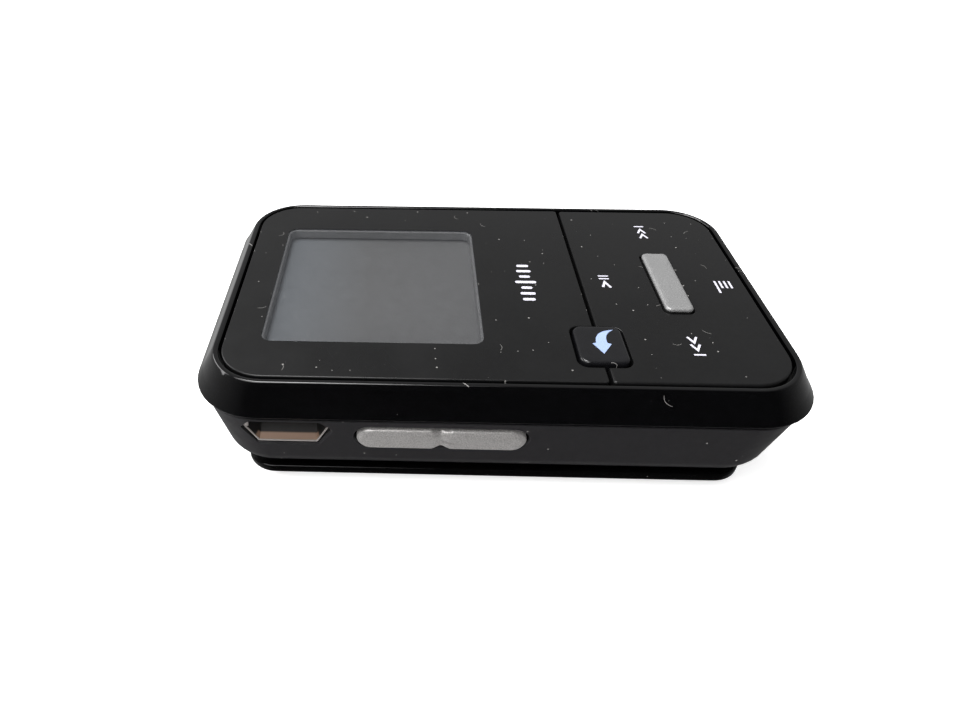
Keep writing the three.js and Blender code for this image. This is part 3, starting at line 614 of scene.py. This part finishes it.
plate_outline = corners(panel_high[0] - lens_low[0], panel_high[1] - panel_low[1], 4.4)
plate_middle = (lens_low[0] + panel_high[0]) / 2
back_gap = 0.25
back_size = (4.6, 5.6)
half_plate = (panel_high[1] - panel_low[1]) / 2


def face_plate(name, x0, x1, low, high, edge):
    """Half of the face: the rounded plate inside, cut straight at the seam, with its edge rounded.
    Its outline is the plate's own arcs on one side and two small corners on the other."""
    keep = plate_outline + (plate_middle, 0)
    if x0 < lens_low[0] + 1:
        arcs = keep[13:39]
        seam = [(x1 - 3, -half_plate), (x1, -half_plate), (x1, half_plate), (x1 - 3, half_plate)]
    else:
        arcs = np.concatenate([keep[39:], keep[:13]])
        seam = [(x0 + 3, half_plate), (x0, half_plate), (x0, -half_plate), (x0 + 3, -half_plate)]
    corner = rounded(seam, [0, 0.3, 0.3, 0], closed=False)
    outline = np.concatenate([corner[1:-1], arcs])
    made = plate(name, outline, edges(low, high, 0.05, edge))
    notch_outline = corners(back_size[0] + 2 * back_gap, back_size[1] + 2 * back_gap, 1.0)
    flare = [(0, low - 1), (0, high - 0.12), (-0.03, high - 0.05), (-0.12, high), (-0.12, high + 1)]
    return combine(made, plate("notch", moved(notch_outline, back_x, back_y), flare))


surround = face_plate("lens_surround", lens_low[0], lens_high[0], lens_low[2], face_z, 0.14)
window_size = 21.3
window_corner = 1.1
window_hole = plate(
    "window_hole",
    moved(corners(window_size, window_size, window_corner), display_x, 0),
    [(0, lens_low[2] - 1), (0, face_z + 1)],
)
combine(surround, window_hole)
smooth(surround)
face_black = finish(
    "face_black", (0.0052, 0.0052, 0.0054), 0.30, grain=2200, tone=0.10, spread=0.04, bump=0.03,
    dust=0.20, wear=(0.014, 0.014, 0.015), specular=0.26,
)
surround.data.materials.append(face_black)
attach(surround, "housing")
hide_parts("face_lens")

wall_thickness = 0.22
liner_outline = moved(corners(window_size - 0.02, window_size - 0.02, window_corner), display_x, 0)
liner = plate(
    "window_wall",
    liner_outline,
    [
        (0, lens_low[2]),
        (0, face_z - 0.18),
        (wall_thickness - 0.08, face_z - 0.18),
        (wall_thickness, face_z - 0.26),
        (wall_thickness, lens_low[2]),
    ],
    tube=True,
)
smooth(liner)
window_grey = finish("window_grey", (0.16, 0.161, 0.165), 0.35, grain=1800, tone=0.10, bump=0.02)
liner.data.materials.append(window_grey)
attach(liner, "housing")

pane = plate(
    "window_pane",
    moved(corners(window_size - 0.04, window_size - 0.04, window_corner), display_x, 0),
    edges(face_z - 0.16, face_z - 0.004, 0.02, 0.03, 2),
)
smooth(pane)
clear = finish(
    "clear_pane", (0.05, 0.052, 0.056), 0.20, grain=900, tone=0.2, spread=0.04, bump=0.01, dust=0.12
)
clear.node_tree.nodes["Principled BSDF"].inputs["Alpha"].default_value = 0.22
clear.blend_method = "BLEND"
pane.data.materials.append(clear)
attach(pane, "housing")

bar_count = 7
bar_pitch = 1.05
bar_step = np.arange(bar_count) - (bar_count - 1) / 2
bar_lengths = 0.7 + 1.5 * np.abs(np.cos(1.9 * bar_step)) * np.exp(-((bar_step / 3.4) ** 2))
mark_x = 3.45
print_height = 0.012


def print_on(name, outlines, top, body, ink):
    """Ink printed on a surface: each outline is a slab that stands just proud of the top."""
    whole = None
    for number, outline in enumerate(outlines):
        slab = plate(f"{name}_{number}", outline, [(0, top - 0.03), (0, top + print_height)])
        whole = join(whole, slab) if whole else slab
    whole.name = name
    whole.data.name = name
    whole.data.materials.append(ink)
    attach(whole, body)
    return whole


white_ink = finish("white_ink", (0.62, 0.61, 0.69), 0.45, grain=6000, tone=0.06, bump=0.05)
level_bars = [
    moved(corners(length, 0.42, 0.18, 5), mark_x, step * bar_pitch)
    for step, length in zip(bar_step, bar_lengths)
]
print_on("level_bars_print", level_bars, face_z, "housing", white_ink)

tape_black = finish("tape_black", (0.012, 0.012, 0.012), 0.75, grain=4000, tone=0.3, bump=0.2)


def dress(material, *nodes):
    """Gives parts of the frame their finish."""
    for node in nodes:
        held = frame["nodes"][node].data.materials
        held.clear()
        held.append(material)


dress(tape_black, "lens_tape")

# ---------------------------------------------------------------- display
# The display is a square glass stack in a thin pressed frame. Its lit area is a dull grey when it is
# off, with a lighter blue grey painted over its left side as a reflection, and a film cable folds
# under it to the board. A foam pad holds it up to the lens.

stack = plate(
    "display_stack",
    moved(corners(display_size, display_size, 0.3), display_x, 0),
    edges(display_low[2], display_high[2] - 0.25, 0.1, 0.12, 3),
)
smooth(stack)
display_frame = finish("display_frame", (0.125, 0.127, 0.132), 0.5, grain=3000, tone=0.12, bump=0.1)
stack.data.materials.append(display_frame)
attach(stack, "housing")
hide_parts("display_module")

glass = plate(
    "display_glass",
    moved(corners(window_size - 0.1, window_size - 0.1, 0.9), display_x, 0),
    edges(display_high[2] - 0.3, display_high[2], 0.02, 0.08, 3),
)
smooth(glass)
screen_grey = finish("screen_grey", (0.136, 0.136, 0.138), 0.38, grain=1400, tone=0.04, bump=0.01)


def fade(material, axis, start, end, full=1.0):
    """Share that falls in a straight line from full at start to 0 at end, in mm along an axis."""
    tree = material.node_tree
    return remap(tree, split(tree)[axis], start * MM, end * MM, full, 0.0)


def tint(material, share, colour):
    """Lays a colour over the material's own colour by a share."""
    tree = material.node_tree
    base = tree.nodes["Principled BSDF"].inputs["Base Color"]
    tree.links.new(mixed(tree, share, base.links[0].from_socket, colour), base)


# Painted reflection: the left side of the screen is made lighter and bluer, fading out 1 mm left of its
# middle.
painted_reflection_blue = (0.180, 0.200, 0.222)
tint(screen_grey, fade(screen_grey, 0, display_x - 10, display_x - 1, 0.75), painted_reflection_blue)
glass.data.materials.append(screen_grey)
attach(glass, "housing")

foam = finish("foam", (0.045, 0.045, 0.047), 0.9, grain=5000, tone=0.35, bump=0.9)
amber = finish(
    "amber_film", (0.33, 0.15, 0.035), 0.42, grain=1500, stretch=(1, 12, 1), tone=0.2, bump=0.1
)
dress(foam, "display_foam", "battery_foam")
dress(amber, "display_flex")

# ---------------------------------------------------------------- main board
# The board is glass fibre laminate under green solder mask, with copper runs showing as lighter
# lines. Chips in black resin hang under it, and one tuner sits in a pressed steel shield.

solder_mask = finish(
    "solder_mask", (0.016, 0.085, 0.045), 0.4, grain=2600, stretch=(1, 8, 1), tone=0.35, bump=0.15
)
resin = finish("chip_resin", (0.022, 0.022, 0.024), 0.6, grain=9000, tone=0.2, bump=0.3)
steel = finish(
    "pressed_steel", (0.55, 0.55, 0.56), 0.3, 1.0, grain=2400, stretch=(1, 9, 9), tone=0.10, spread=0.08,
    bump=0.12,
)
dark_plastic = finish("moulded_black", (0.018, 0.018, 0.019), 0.5, grain=4500, tone=0.2, bump=0.25)
gold = finish("gold_plate", (0.72, 0.50, 0.19), 0.28, 1.0, grain=2600, tone=0.10, bump=0.08)
dress(solder_mask, "main_board", "battery_board")
dress(resin, "processor_chip", "memory_chip", "charger_chip")
dress(steel, "tuner_shield", *(f"board_screw_{number}" for number in range(1, 5)))
dress(dark_plastic, "volume_up_switch", "volume_down_switch", "power_switch")
spring_steel = finish("spring_steel", (0.50, 0.50, 0.51), 0.24, 1.0, grain=3500, tone=0.08, bump=0.05)
keys = ("select", "back", "menu", "play", "next", "previous")
dress(spring_steel, *(f"{key}_dome" for key in keys))

# ---------------------------------------------------------------- battery
# The battery is a flat pouch cell in laminated foil. Its small board stands at one end, and a red
# and a black lead run from it up to the main board.

cell_foil = finish("cell_foil", (0.56, 0.57, 0.58), 0.38, 0.9, grain=900, tone=0.08, spread=0.1, bump=0.5)
red_sleeve = finish("red_sleeve", (0.34, 0.02, 0.02), 0.5, grain=6000, tone=0.15, bump=0.1)
black_sleeve = finish("black_sleeve", (0.015, 0.015, 0.016), 0.5, grain=6000, tone=0.15, bump=0.1)
dress(cell_foil, "battery_cell")
dress(red_sleeve, "battery_lead_red")
dress(black_sleeve, "battery_lead_black")

# ---------------------------------------------------------------- USB socket
# The receptacle is folded from plated steel, six-sided, with a flared mouth. Inside, its colour is
# painted dark as shade, the shadow that the bezel's overhang casts; only the front of the floor, where
# light falls, shows the coppery tone of worn plating. A black tongue inside it has five gold contacts.

socket_points = [
    (usb_x - 2.8, usb_low[2]),
    (usb_x + 2.8, usb_low[2]),
    (usb_high[0], usb_low[2] + 1.4),
    (usb_high[0], usb_high[2]),
    (usb_low[0], usb_high[2]),
    (usb_low[0], usb_low[2] + 1.4),
]
socket_outline = rounded(socket_points, 0.45)
sheet = 0.2
rear = -usb_high[1]
mouth = -usb_low[1]
lip_reach = mouth + 1.2


def flare(share, inset, w):
    """A ring of the mouth: the socket's outline at share 0, and the opening's, less a gap, at 1."""
    opening = offset(usb_outline, 0.09)
    outline = socket_outline + (opening - socket_outline) * share
    return np.c_[offset(outline, inset), np.full(len(outline), w)]


receptacle = skin(
    "flared_receptacle",
    [
        flare(0, 0, rear),
        flare(0, 0, mouth - 0.1),
        flare(0.6, 0, mouth + 0.5),
        flare(1, 0, lip_reach - 0.08),
        flare(1, 0.04, lip_reach),
        flare(1, sheet - 0.04, lip_reach),
        flare(1, sheet, lip_reach - 0.08),
        flare(0.6, sheet, mouth + 0.42),
        flare(0, sheet, mouth - 0.2),
        flare(0, sheet, rear + 0.4),
    ],
    NEAR,
)
tab_outline = rounded(box_outline(usb_x - 3.95, usb_x - 3.5, shell_top - 1.75, shell_top - 1.1), 0.1)
tab_profile = [(0, mouth + 0.6), (0, lip_reach + 0.05), (0.05, lip_reach + 0.1)]
join(receptacle, plate("tab", tab_outline, tab_profile, NEAR))
smooth(receptacle)
# Painted shade: the socket's dark base colour stands for the shadow inside it.
plating_with_painted_shade = finish(
    "plating_with_painted_shade", (0.016, 0.015, 0.015), 0.34, 0.3, grain=5000, stretch=(0.3, 1, 1), tone=0.14, bump=0.15
)
floor_level = shell_top - 3.1
low_part = fade(plating_with_painted_shade, 2, floor_level, floor_level + 0.15)
lit_front_part = fade(plating_with_painted_shade, 1, 0.60 - lip_reach, 0.75 - lip_reach)
edge_part = fade(plating_with_painted_shade, 1, 0.05 - lip_reach, 0.1 - lip_reach)
coppery = (0.27, 0.18, 0.13)
plated = (0.27, 0.25, 0.24)
# Painted light and shade: the coppery strip on the front of the floor is where light falls, and past it
# the dark base colour stands for shadow.
tint(plating_with_painted_shade, times(plating_with_painted_shade.node_tree, low_part, lit_front_part), coppery)
tint(plating_with_painted_shade, edge_part, plated)
receptacle.data.materials.append(plating_with_painted_shade)
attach(receptacle, "housing")
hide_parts("usb_receptacle")

tongue_low, tongue_high = extent("usb_tongue")
dress(dark_plastic, "usb_tongue")
contact_pitch = 0.65
contacts = None
for step in range(-2, 3):
    x = usb_x + step * contact_pitch
    strip = plate(
        f"contact_{step}",
        rounded(box_outline(x - 0.14, x + 0.14, tongue_low[1] + 0.25, tongue_high[1] - 1.1), 0.1),
        edges(tongue_high[2] - 0.66, tongue_high[2] - 0.58, 0.02, 0.02, 2),
    )
    contacts = join(contacts, strip) if contacts else strip
contacts.name = "usb_contacts"
smooth(contacts)
contacts.data.materials.append(gold)
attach(contacts, "housing")

# ---------------------------------------------------------------- headphone socket and card slot
# The headphone socket is a black moulding with a steel ring round its mouth and a gold spring
# contact beside its bore. The card slot is a folded steel cage. Both open in the far wall.

jack_inner = jack_high[1] - 1.9
jack_front = jack_high[1]
jack_line = (jack_x, 0, jack_z)
jack = plate(
    "jack_body",
    rounded(box_outline(jack_low[0], jack_high[0], jack_low[1], jack_inner), 0.3),
    edges(jack_low[2], jack_high[2], 0.15, 0.15, 3),
)
nose = plate("nose", circle(2.0), [(0, jack_inner - 0.5), (0, jack_front - 0.25)], ROUND_Y, jack_line)
bore = plate("bore", circle(1.8), [(0, jack_low[1] + 0.4), (0, jack_front + 1)], ROUND_Y, jack_line)
contact_room = plate(
    "contact_room",
    box_outline(jack_x + 2.1, jack_x + 4, jack_front - 12, jack_front - 4),
    [(0, jack_z - 1.3), (0, jack_z + 1.3)],
)
join(jack, nose)
combine(jack, bore, contact_room)
smooth(jack)
jack.data.materials.append(dark_plastic)
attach(jack, "housing")
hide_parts("headphone_jack")

ring_profile = [
    (0, jack_inner + 0.05),
    (0, jack_front - 0.12),
    (0.08, jack_front - 0.02),
    (0.2, jack_front),
    (0.34, jack_front - 0.06),
    (0.38, jack_front - 0.2),
    (0.38, jack_front - 0.25),
    (0.19, jack_front - 0.25),
    (0.19, jack_inner + 0.05),
]
ring = plate("jack_ring", circle(2.2), ring_profile, ROUND_Y, jack_line, tube=True)
smooth(ring)
ring.data.materials.append(steel)
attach(ring, "housing")
dress(gold, "jack_contact")
dress(steel, "card_socket")

# ---------------------------------------------------------------- control panel
# The four-way panel is a black plate beside the lens, with the same surface. It rocks on two posts,
# and small nubs below it reach down to the snap domes. Its symbols are printed in white.

select_low, select_high = extent("select_button")
select_x, select_y = (select_low + select_high)[:2] / 2
select_size = (2.8, 10.7)
panel_bottom = face_z - 0.95
panel = face_plate("four_way_panel", panel_low[0], panel_high[0], panel_bottom, face_z, 0.24)
opening_outline = moved(corners(select_size[0] + 0.3, select_size[1] + 0.3, 0.7), select_x, select_y)
opening_flare = [
    (0, panel_bottom - 1),
    (0, face_z - 0.16),
    (-0.05, face_z - 0.05),
    (-0.16, face_z),
    (-0.16, face_z + 1),
]
combine(panel, plate("opening", opening_outline, opening_flare))
pivot_z = joints["panel_next_previous"]["pos_m"][2] / MM
for side in (-1, 1):
    nub = plate(
        "nub",
        moved(circle(0.9, 24), panel_x, side * 10.5),
        edges(panel_low[2], panel_bottom + 0.1, 0.15, 0, 3)[:-3],
    )
    post = plate(
        "post",
        moved(circle(0.7, 24), panel_x + side * 4.6, 0),
        edges(pivot_z + 0.3, panel_bottom + 0.1, 0.1, 0, 3)[:-3],
    )
    join(panel, nub, post)
smooth(panel)
panel.data.materials.append(face_black)
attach(panel, "control_panel")
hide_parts("control_panel")
rubber = finish("silicone_pad", (0.05, 0.05, 0.052), 0.62, grain=4000, tone=0.15, bump=0.2)
dress(rubber, "key_pad")


def stroke(points, width):
    """A line of even width with square ends, through the points: both sides lie width / 2 off it."""
    points = np.array(points, float)
    run = np.diff(points, axis=0)
    run /= np.linalg.norm(run, axis=1, keepdims=True)
    before = np.concatenate([run[:1], run])
    after = np.concatenate([run, run[-1:]])
    normal = np.stack([-before[:, 1], before[:, 0]], -1)
    other = np.stack([-after[:, 1], after[:, 0]], -1)
    side = width / 2 * (normal + other) / (1 + (normal * other).sum(1, keepdims=True))
    return np.concatenate([points - side, (points + side)[::-1]])


line = 0.21
menu_x = 23.37 + 0.49 * np.arange(4)
menu_icon = [stroke([(x, low), (x, 0.74)], line) for x, low in zip(menu_x, (-1.44, -0.55, -0.55, -0.55))]


def chevrons(x, y, way):
    """Two chevrons and a bar, pointing along Y."""
    marks = [
        stroke([(x - 0.43, y + way * i), (x, y + way * (i + 0.86)), (x + 0.43, y + way * i)], 0.22)
        for i in (0.08, 1.22)
    ]
    marks.append(stroke([(x - 0.55, y + way * 2.75), (x + 0.55, y + way * 2.75)], line))
    return marks


play_icon = [
    stroke([(11.29, 1.39), (12.35, 1.39)], 0.19),
    stroke([(11.29, 0.87), (12.35, 0.87)], 0.19),
    stroke([(11.42, -0.70), (11.78, 0.25), (12.23, -0.78)], 0.25),
]
for name, icon in (
    ("menu_print", menu_icon),
    ("next_print", chevrons(select_x, 9.42, 1)),
    ("previous_print", chevrons(18.1, -8.9, -1)),
    ("play_print", play_icon),
):
    print_on(name, icon, face_z, "control_panel", white_ink)

# ---------------------------------------------------------------- select button
# The select button is a moulded bar painted silver, with a bright rounded edge. Its sides are coloured
# black close to the panel as painted shade. A flange below the panel keeps it in, and its nub works the
# middle dome.

select_top = select_high[2]
select = plate(
    "silver_select_bar",
    moved(corners(*select_size, 0.6), select_x, select_y),
    [*edges(select_low[2] + 0.9, select_top - 0.02, 0.05, 0.26, 6), (0.5, select_top)],
)


def face_key_foot(key, size, x, y, nub_bottom, low, high):
    """Joins to a key its flange, 0.6 mm wider all round from low to high, and the nub below it."""
    flange_outline = moved(corners(size[0] + 1.2, size[1] + 1.2, 0.8), x, y)
    flange_profile = [(0.05, low), (0, low + 0.05), (0, high - 0.05), (0.05, high)]
    flange = plate("flange", flange_outline, flange_profile)
    nub_profile = [(0.12, nub_bottom), (0, nub_bottom + 0.12), (0, low + 0.1)]
    nub = plate("nub", moved(circle(0.9, 24), x, y), nub_profile)
    return join(key, flange, nub)


face_key_foot(select, select_size, select_x, select_y, select_low[2], pivot_z + 0.1, pivot_z + 0.45)
smooth(select)
painted_silver = finish(
    "painted_silver", (0.275, 0.275, 0.275), 0.42, 0.45, grain=9000, tone=0.20, spread=0.02, bump=0.45,
    wear=(0.80, 0.80, 0.81), wear_radius=0.00022, cloud=0.06,
)
# Painted shade: the sides are black up to 0.05 mm above the panel, fading to silver by 0.12 mm.
painted_shade_black = (0.02, 0.02, 0.02)
tint(painted_silver, fade(painted_silver, 2, face_z + 0.05, face_z + 0.12), painted_shade_black)
select.data.materials.append(painted_silver)
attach(select, "select_button")
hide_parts("select_button")

# ---------------------------------------------------------------- back button
# The back button is a gloss black cap that stands a little proud across the seam. A curved arrow is
# printed on it in pale blue.

back_top = back_high[2]
back = plate(
    "gloss_back_cap",
    moved(corners(*back_size, 0.9), back_x, back_y),
    [*edges(back_low[2] + 0.6, back_top - 0.01, 0.05, 0.30, 7), (0.75, back_top)],
)
face_key_foot(back, back_size, back_x, back_y, back_low[2], pivot_z - 0.2, pivot_z + 0.1)
smooth(back)
cap_black = finish(
    "cap_black", (0.0055, 0.0055, 0.0065), 0.22, grain=1500, tone=0.15, spread=0.03, bump=0.01,
    dust=0.05, wear=(0.02, 0.02, 0.022), specular=0.4,
)
back.data.materials.append(cap_black)
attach(back, "back_button")
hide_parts("back_button")



def bent(start, bend, end):
    """Curve (1 - t)^2 start + 2 t (1 - t) bend + t^2 end."""
    t = np.linspace(0, 1, 9)
    return np.outer((1 - t) ** 2, start) + np.outer(2 * t * (1 - t), bend) + np.outer(t**2, end)


tail = (10.72, -8.48)
outer_side = bent(tail, (8.78, -8.62), (8.72, -10.5))
inner_side = bent((9.78, -10.5), (9.62, -9.1), tail)
arrow_head = [(8.36, -10.58), (9.16, -12.1), (10.13, -10.66)]
arrow = np.concatenate([outer_side, arrow_head, inner_side[:-1]])
blue_ink = finish("blue_ink", (0.31, 0.40, 0.63), 0.4, grain=5000, tone=0.06, bump=0.05)
print_on("return_arrow_print", [arrow], back_top, "back_button", blue_ink)

# ---------------------------------------------------------------- side keys
# The volume rocker and the power button are cast bars with half-round ends, a bevel all round and a
# blasted silver face. The rocker dips across its narrow waist, and rocks about the middle of it.


def side_key(name, size, waist, dip, proud, basis, middle):
    """The bar's outline drawn in towards its middle line. At a share s of the way in, the face
    stands at proud, less its fall over the bevel, 0.36 (1 - s h / 0.42) softened at both ends and
    held at 0 past it, and less dip exp(-(u / 0.45)^2), with h the half height."""
    outline, spine = side_bar(*size, waist)
    bevel_height, bevel_width, softness = 0.36, 0.42, 0.06
    rings = [np.c_[outline, np.full(len(outline), depth)] for depth in (-2.7, -0.6)]
    for share in (0, 0.03, 0.07, 0.12, 0.18, 0.24, 0.28, 0.32, 0.37, 0.5, 0.7, 0.93):
        flat = outline + (spine - outline) * share
        slope = 1 - share * size[1] / 2 / bevel_width
        bevel = bevel_height * softness * np.logaddexp(0, slope / softness)
        edge_round = 0.10 * np.exp(-share / 0.04)
        valley = dip * np.exp(-((flat[:, 0] / 0.45) ** 2))
        rings.append(np.c_[flat, proud - bevel - edge_round - valley])
    return skin(name, rings, basis, middle)


def side_key_foot(key, half_length, low, high, pegs, basis, middle):
    """Joins to a side key the flange that keeps it in the wall, and a square peg for each switch."""
    flange_outline = rounded(box_outline(-half_length, half_length, low, high), 0.3)
    foot = [plate("flange", flange_outline, [(0, -2.9), (0, -2.4)], basis, middle)]
    for x in pegs:
        peg_outline = box_outline(x - 0.8, x + 0.8, -0.7, 0.7)
        foot.append(plate("peg", peg_outline, [(0, -3.3), (0, -2.8)], basis, middle))
    return join(key, *foot)


rocker = side_key("silver_volume_rocker", rocker_size, 0.25, 0.28, 0.5, NEAR_WALL, rocker_middle)
side_key_foot(rocker, 8.5, -1.9, 1.4, (-5.2, 5.2), NEAR_WALL, rocker_middle)
smooth(rocker)
blasted_silver = finish(
    "blasted_silver", (0.50, 0.485, 0.475), 0.38, 0.7, grain=9000, tone=0.24, spread=0.02, bump=0.5,
    wear=(0.85, 0.85, 0.86), wear_radius=0.00022, cloud=0.06,
)
rocker.data.materials.append(blasted_silver)
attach(rocker, "volume_rocker")
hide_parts("volume_rocker")

power = side_key("silver_power_button", power_size, 0.0, 0.0, 0.35, END_WALL, power_middle)
side_key_foot(power, 4.2, -1.5, 1.35, (0,), END_WALL, power_middle)
smooth(power)
power.data.materials.append(blasted_silver)
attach(power, "power_button")
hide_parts("power_button")

# ---------------------------------------------------------------- clip
# The clip is a gloss black moulded plate under the whole back, with bevelled lower edges, a pocket
# inside and three grip grooves on its jaw. Two ears turn on a steel pin, under a torsion spring.

clip_low, clip_high = extent("clip_plate")
clip_length, clip_width = (clip_high - clip_low)[:2]
clip_top = shell_bottom - 0.3
clip_points = [(3.2, 0.0), (1.5, 0.0), (0.0, 1.5), (0.0, clip_top), (1.5, clip_top)]
clip_profile = rounded(clip_points, [0, 0.5, 0.45, 0.2, 0], closed=False)


def clip_ring(inset, z):
    radius = np.interp(inset, [0.0, 1.65, 3.2], [3.0, 2.2, 1.4])
    outline = corners(clip_length - 2 * inset, clip_width - 1.7 * inset, radius)
    return np.c_[outline, np.full(len(outline), z)]


clip = skin("gloss_clip", [clip_ring(inset, z) for inset, z in clip_profile])
pocket_start = clip_low[0] + 1.1
pocket_end = clip_high[0] - 5.6
pocket_outline = corners(pocket_end - pocket_start, clip_width - 3.1, 1.5)
pocket = plate(
    "pocket",
    moved(pocket_outline, (pocket_start + pocket_end) / 2, 0),
    [(0.2, 1.4), (0, 1.6), (0, clip_top + 1)],
)
relief_x = clip_low[0] - 0.9
relief_points = [(relief_x, clip_top - 0.7), (pin_x - 0.3, clip_top + 0.05), (relief_x, clip_top + 0.4)]
relief = plate("relief", relief_points, [(0, -20), (0, 20)], NEAR)
combine(clip, pocket, relief)
for y in (-6.5, 6.5):
    root_outline = box_outline(pin_x - 1.42, pin_x + 1.42, y - 1.18, y + 1.18)
    root = plate("root", root_outline, [(0, 1.2), (0, pin_z)])
    eye = plate("eye", circle(1.45), [(0, y - 1.2), (0, y + 1.2)], ROUND_Y, pin_line)
    rib_outline = box_outline(pin_x, pocket_end + 0.1, y - 0.5, y + 0.5)
    rib = plate("rib", rib_outline, [(0, 1.3), (0, clip_top - 0.2)])
    join(clip, root, eye, rib)
combine(clip, plate("ear_bore", circle(bore_radius), [(0, -9), (0, 9)], ROUND_Y, pin_line))
for step in range(3):
    x = pocket_end + 2.6 + step
    groove_outline = rounded(box_outline(x, x + 0.4, -10, 10), 0.15)
    combine(clip, plate("groove", groove_outline, [(0, clip_top - 0.3), (0, clip_top + 1)]))
smooth(clip)
clip_black = finish(
    "clip_black", (0.0010, 0.0010, 0.0010), 0.16, grain=1200, tone=0.2, spread=0.05, bump=0.015,
    dust=0.06, wall=True, wear=(0.012, 0.012, 0.012), specular=0.4,
)
clip.data.materials.append(clip_black)
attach(clip, "clip")
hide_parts("clip_plate")
dress(spring_steel, "clip_pin", "clip_spring")

# ---------------------------------------------------------------- floor, light and camera
# The player lies on a plain pale floor. Broad lamps stand above and to the left, with a weak one in
# front, in a dim grey surround. The camera is close, on the near side, and looks down across the face.

floor_mesh = bpy.data.meshes.new("floor")
floor_corners = [(x, y, 0) for x, y in box_outline(-3.0, 3.0, -3.0, 3.0)]
floor_mesh.from_pydata(floor_corners, [], [(0, 1, 2, 3)])
floor = linked("floor", floor_mesh)
floor.visible_glossy = False
pale_floor = finish("pale_floor", (0.9, 0.9, 0.9), 0.7, grain=60, tone=0.01, bump=0.0)
glowing = pale_floor.node_tree.nodes["Principled BSDF"]
glowing.inputs["Emission Color"].default_value = (1.0, 1.0, 1.0, 1.0)
glowing.inputs["Emission Strength"].default_value = 0.6
floor_mesh.materials.append(pale_floor)

world = bpy.data.worlds.new("studio")
bpy.context.scene.world = world
world.use_nodes = True
sky = world.node_tree
x, y, _ = split(sky, sky.nodes.new("ShaderNodeTexCoord").outputs["Generated"])
sideways = times(sky, math_node(sky, "ABSOLUTE", x), 0.35)
leftwards = times(sky, x, -0.25)
behind = times(sky, y, 0.8)
way = math_node(sky, "ADD", math_node(sky, "ADD", sideways, leftwards), behind)
glow = remap(sky, way, -0.35, 0.85, 0.02, 0.45)
ray = sky.nodes.new("ShaderNodeLightPath")
colour = mixed(sky, glow, (0.0, 0.0, 0.0), (1.0, 1.0, 1.0))
colour = mixed(sky, ray.outputs["Is Camera Ray"], colour, (1.0, 1.0, 1.0))
sky.links.new(colour, sky.nodes["Background"].inputs["Color"])


def soft_light(name, place, aim, size, watts):
    """A rectangular lamp of the given size that stands at a place and faces its aim."""
    data = bpy.data.lights.new(name, "AREA")
    data.shape = "RECTANGLE"
    data.size, data.size_y = size
    data.energy = watts
    light = linked(name, data)
    light.location = place
    light.rotation_euler = (light.location - Vector(aim)).to_track_quat("Z", "Y").to_euler()
    return light


soft_light("overhead", (-0.27, -0.22, 0.60), (-0.1, 0, 0), (0.55, 0.6), 4.2)
soft_light("key_window", (-0.13, 0.14, 0.58), (0, 0, 0), (0.18, 0.26), 3.2)
soft_light("left_strip", (-0.55, 0.15, 0.30), (0, 0, 0), (0.5, 0.25), 2.2)
front_fill = soft_light("front_fill", (-0.05, -0.60, 0.25), (0, 0, 0), (0.6, 0.3), 2.0)
front_fill.visible_glossy = False

camera_data = bpy.data.cameras.new("camera")
camera_data.lens = 26.32
camera_data.sensor_width = 36.0
camera_data.shift_x = 0.0948
camera_data.clip_start = 0.001
camera = linked("camera", camera_data)
camera.location = (-0.00920, -0.06239, 0.05597)
look_at = Vector((-0.01084, -0.00461, 0.0075))
camera.rotation_euler = (look_at - camera.location).to_track_quat("-Z", "Y").to_euler()
bpy.context.scene.camera = camera
bpy.context.scene.view_settings.view_transform = "Standard"
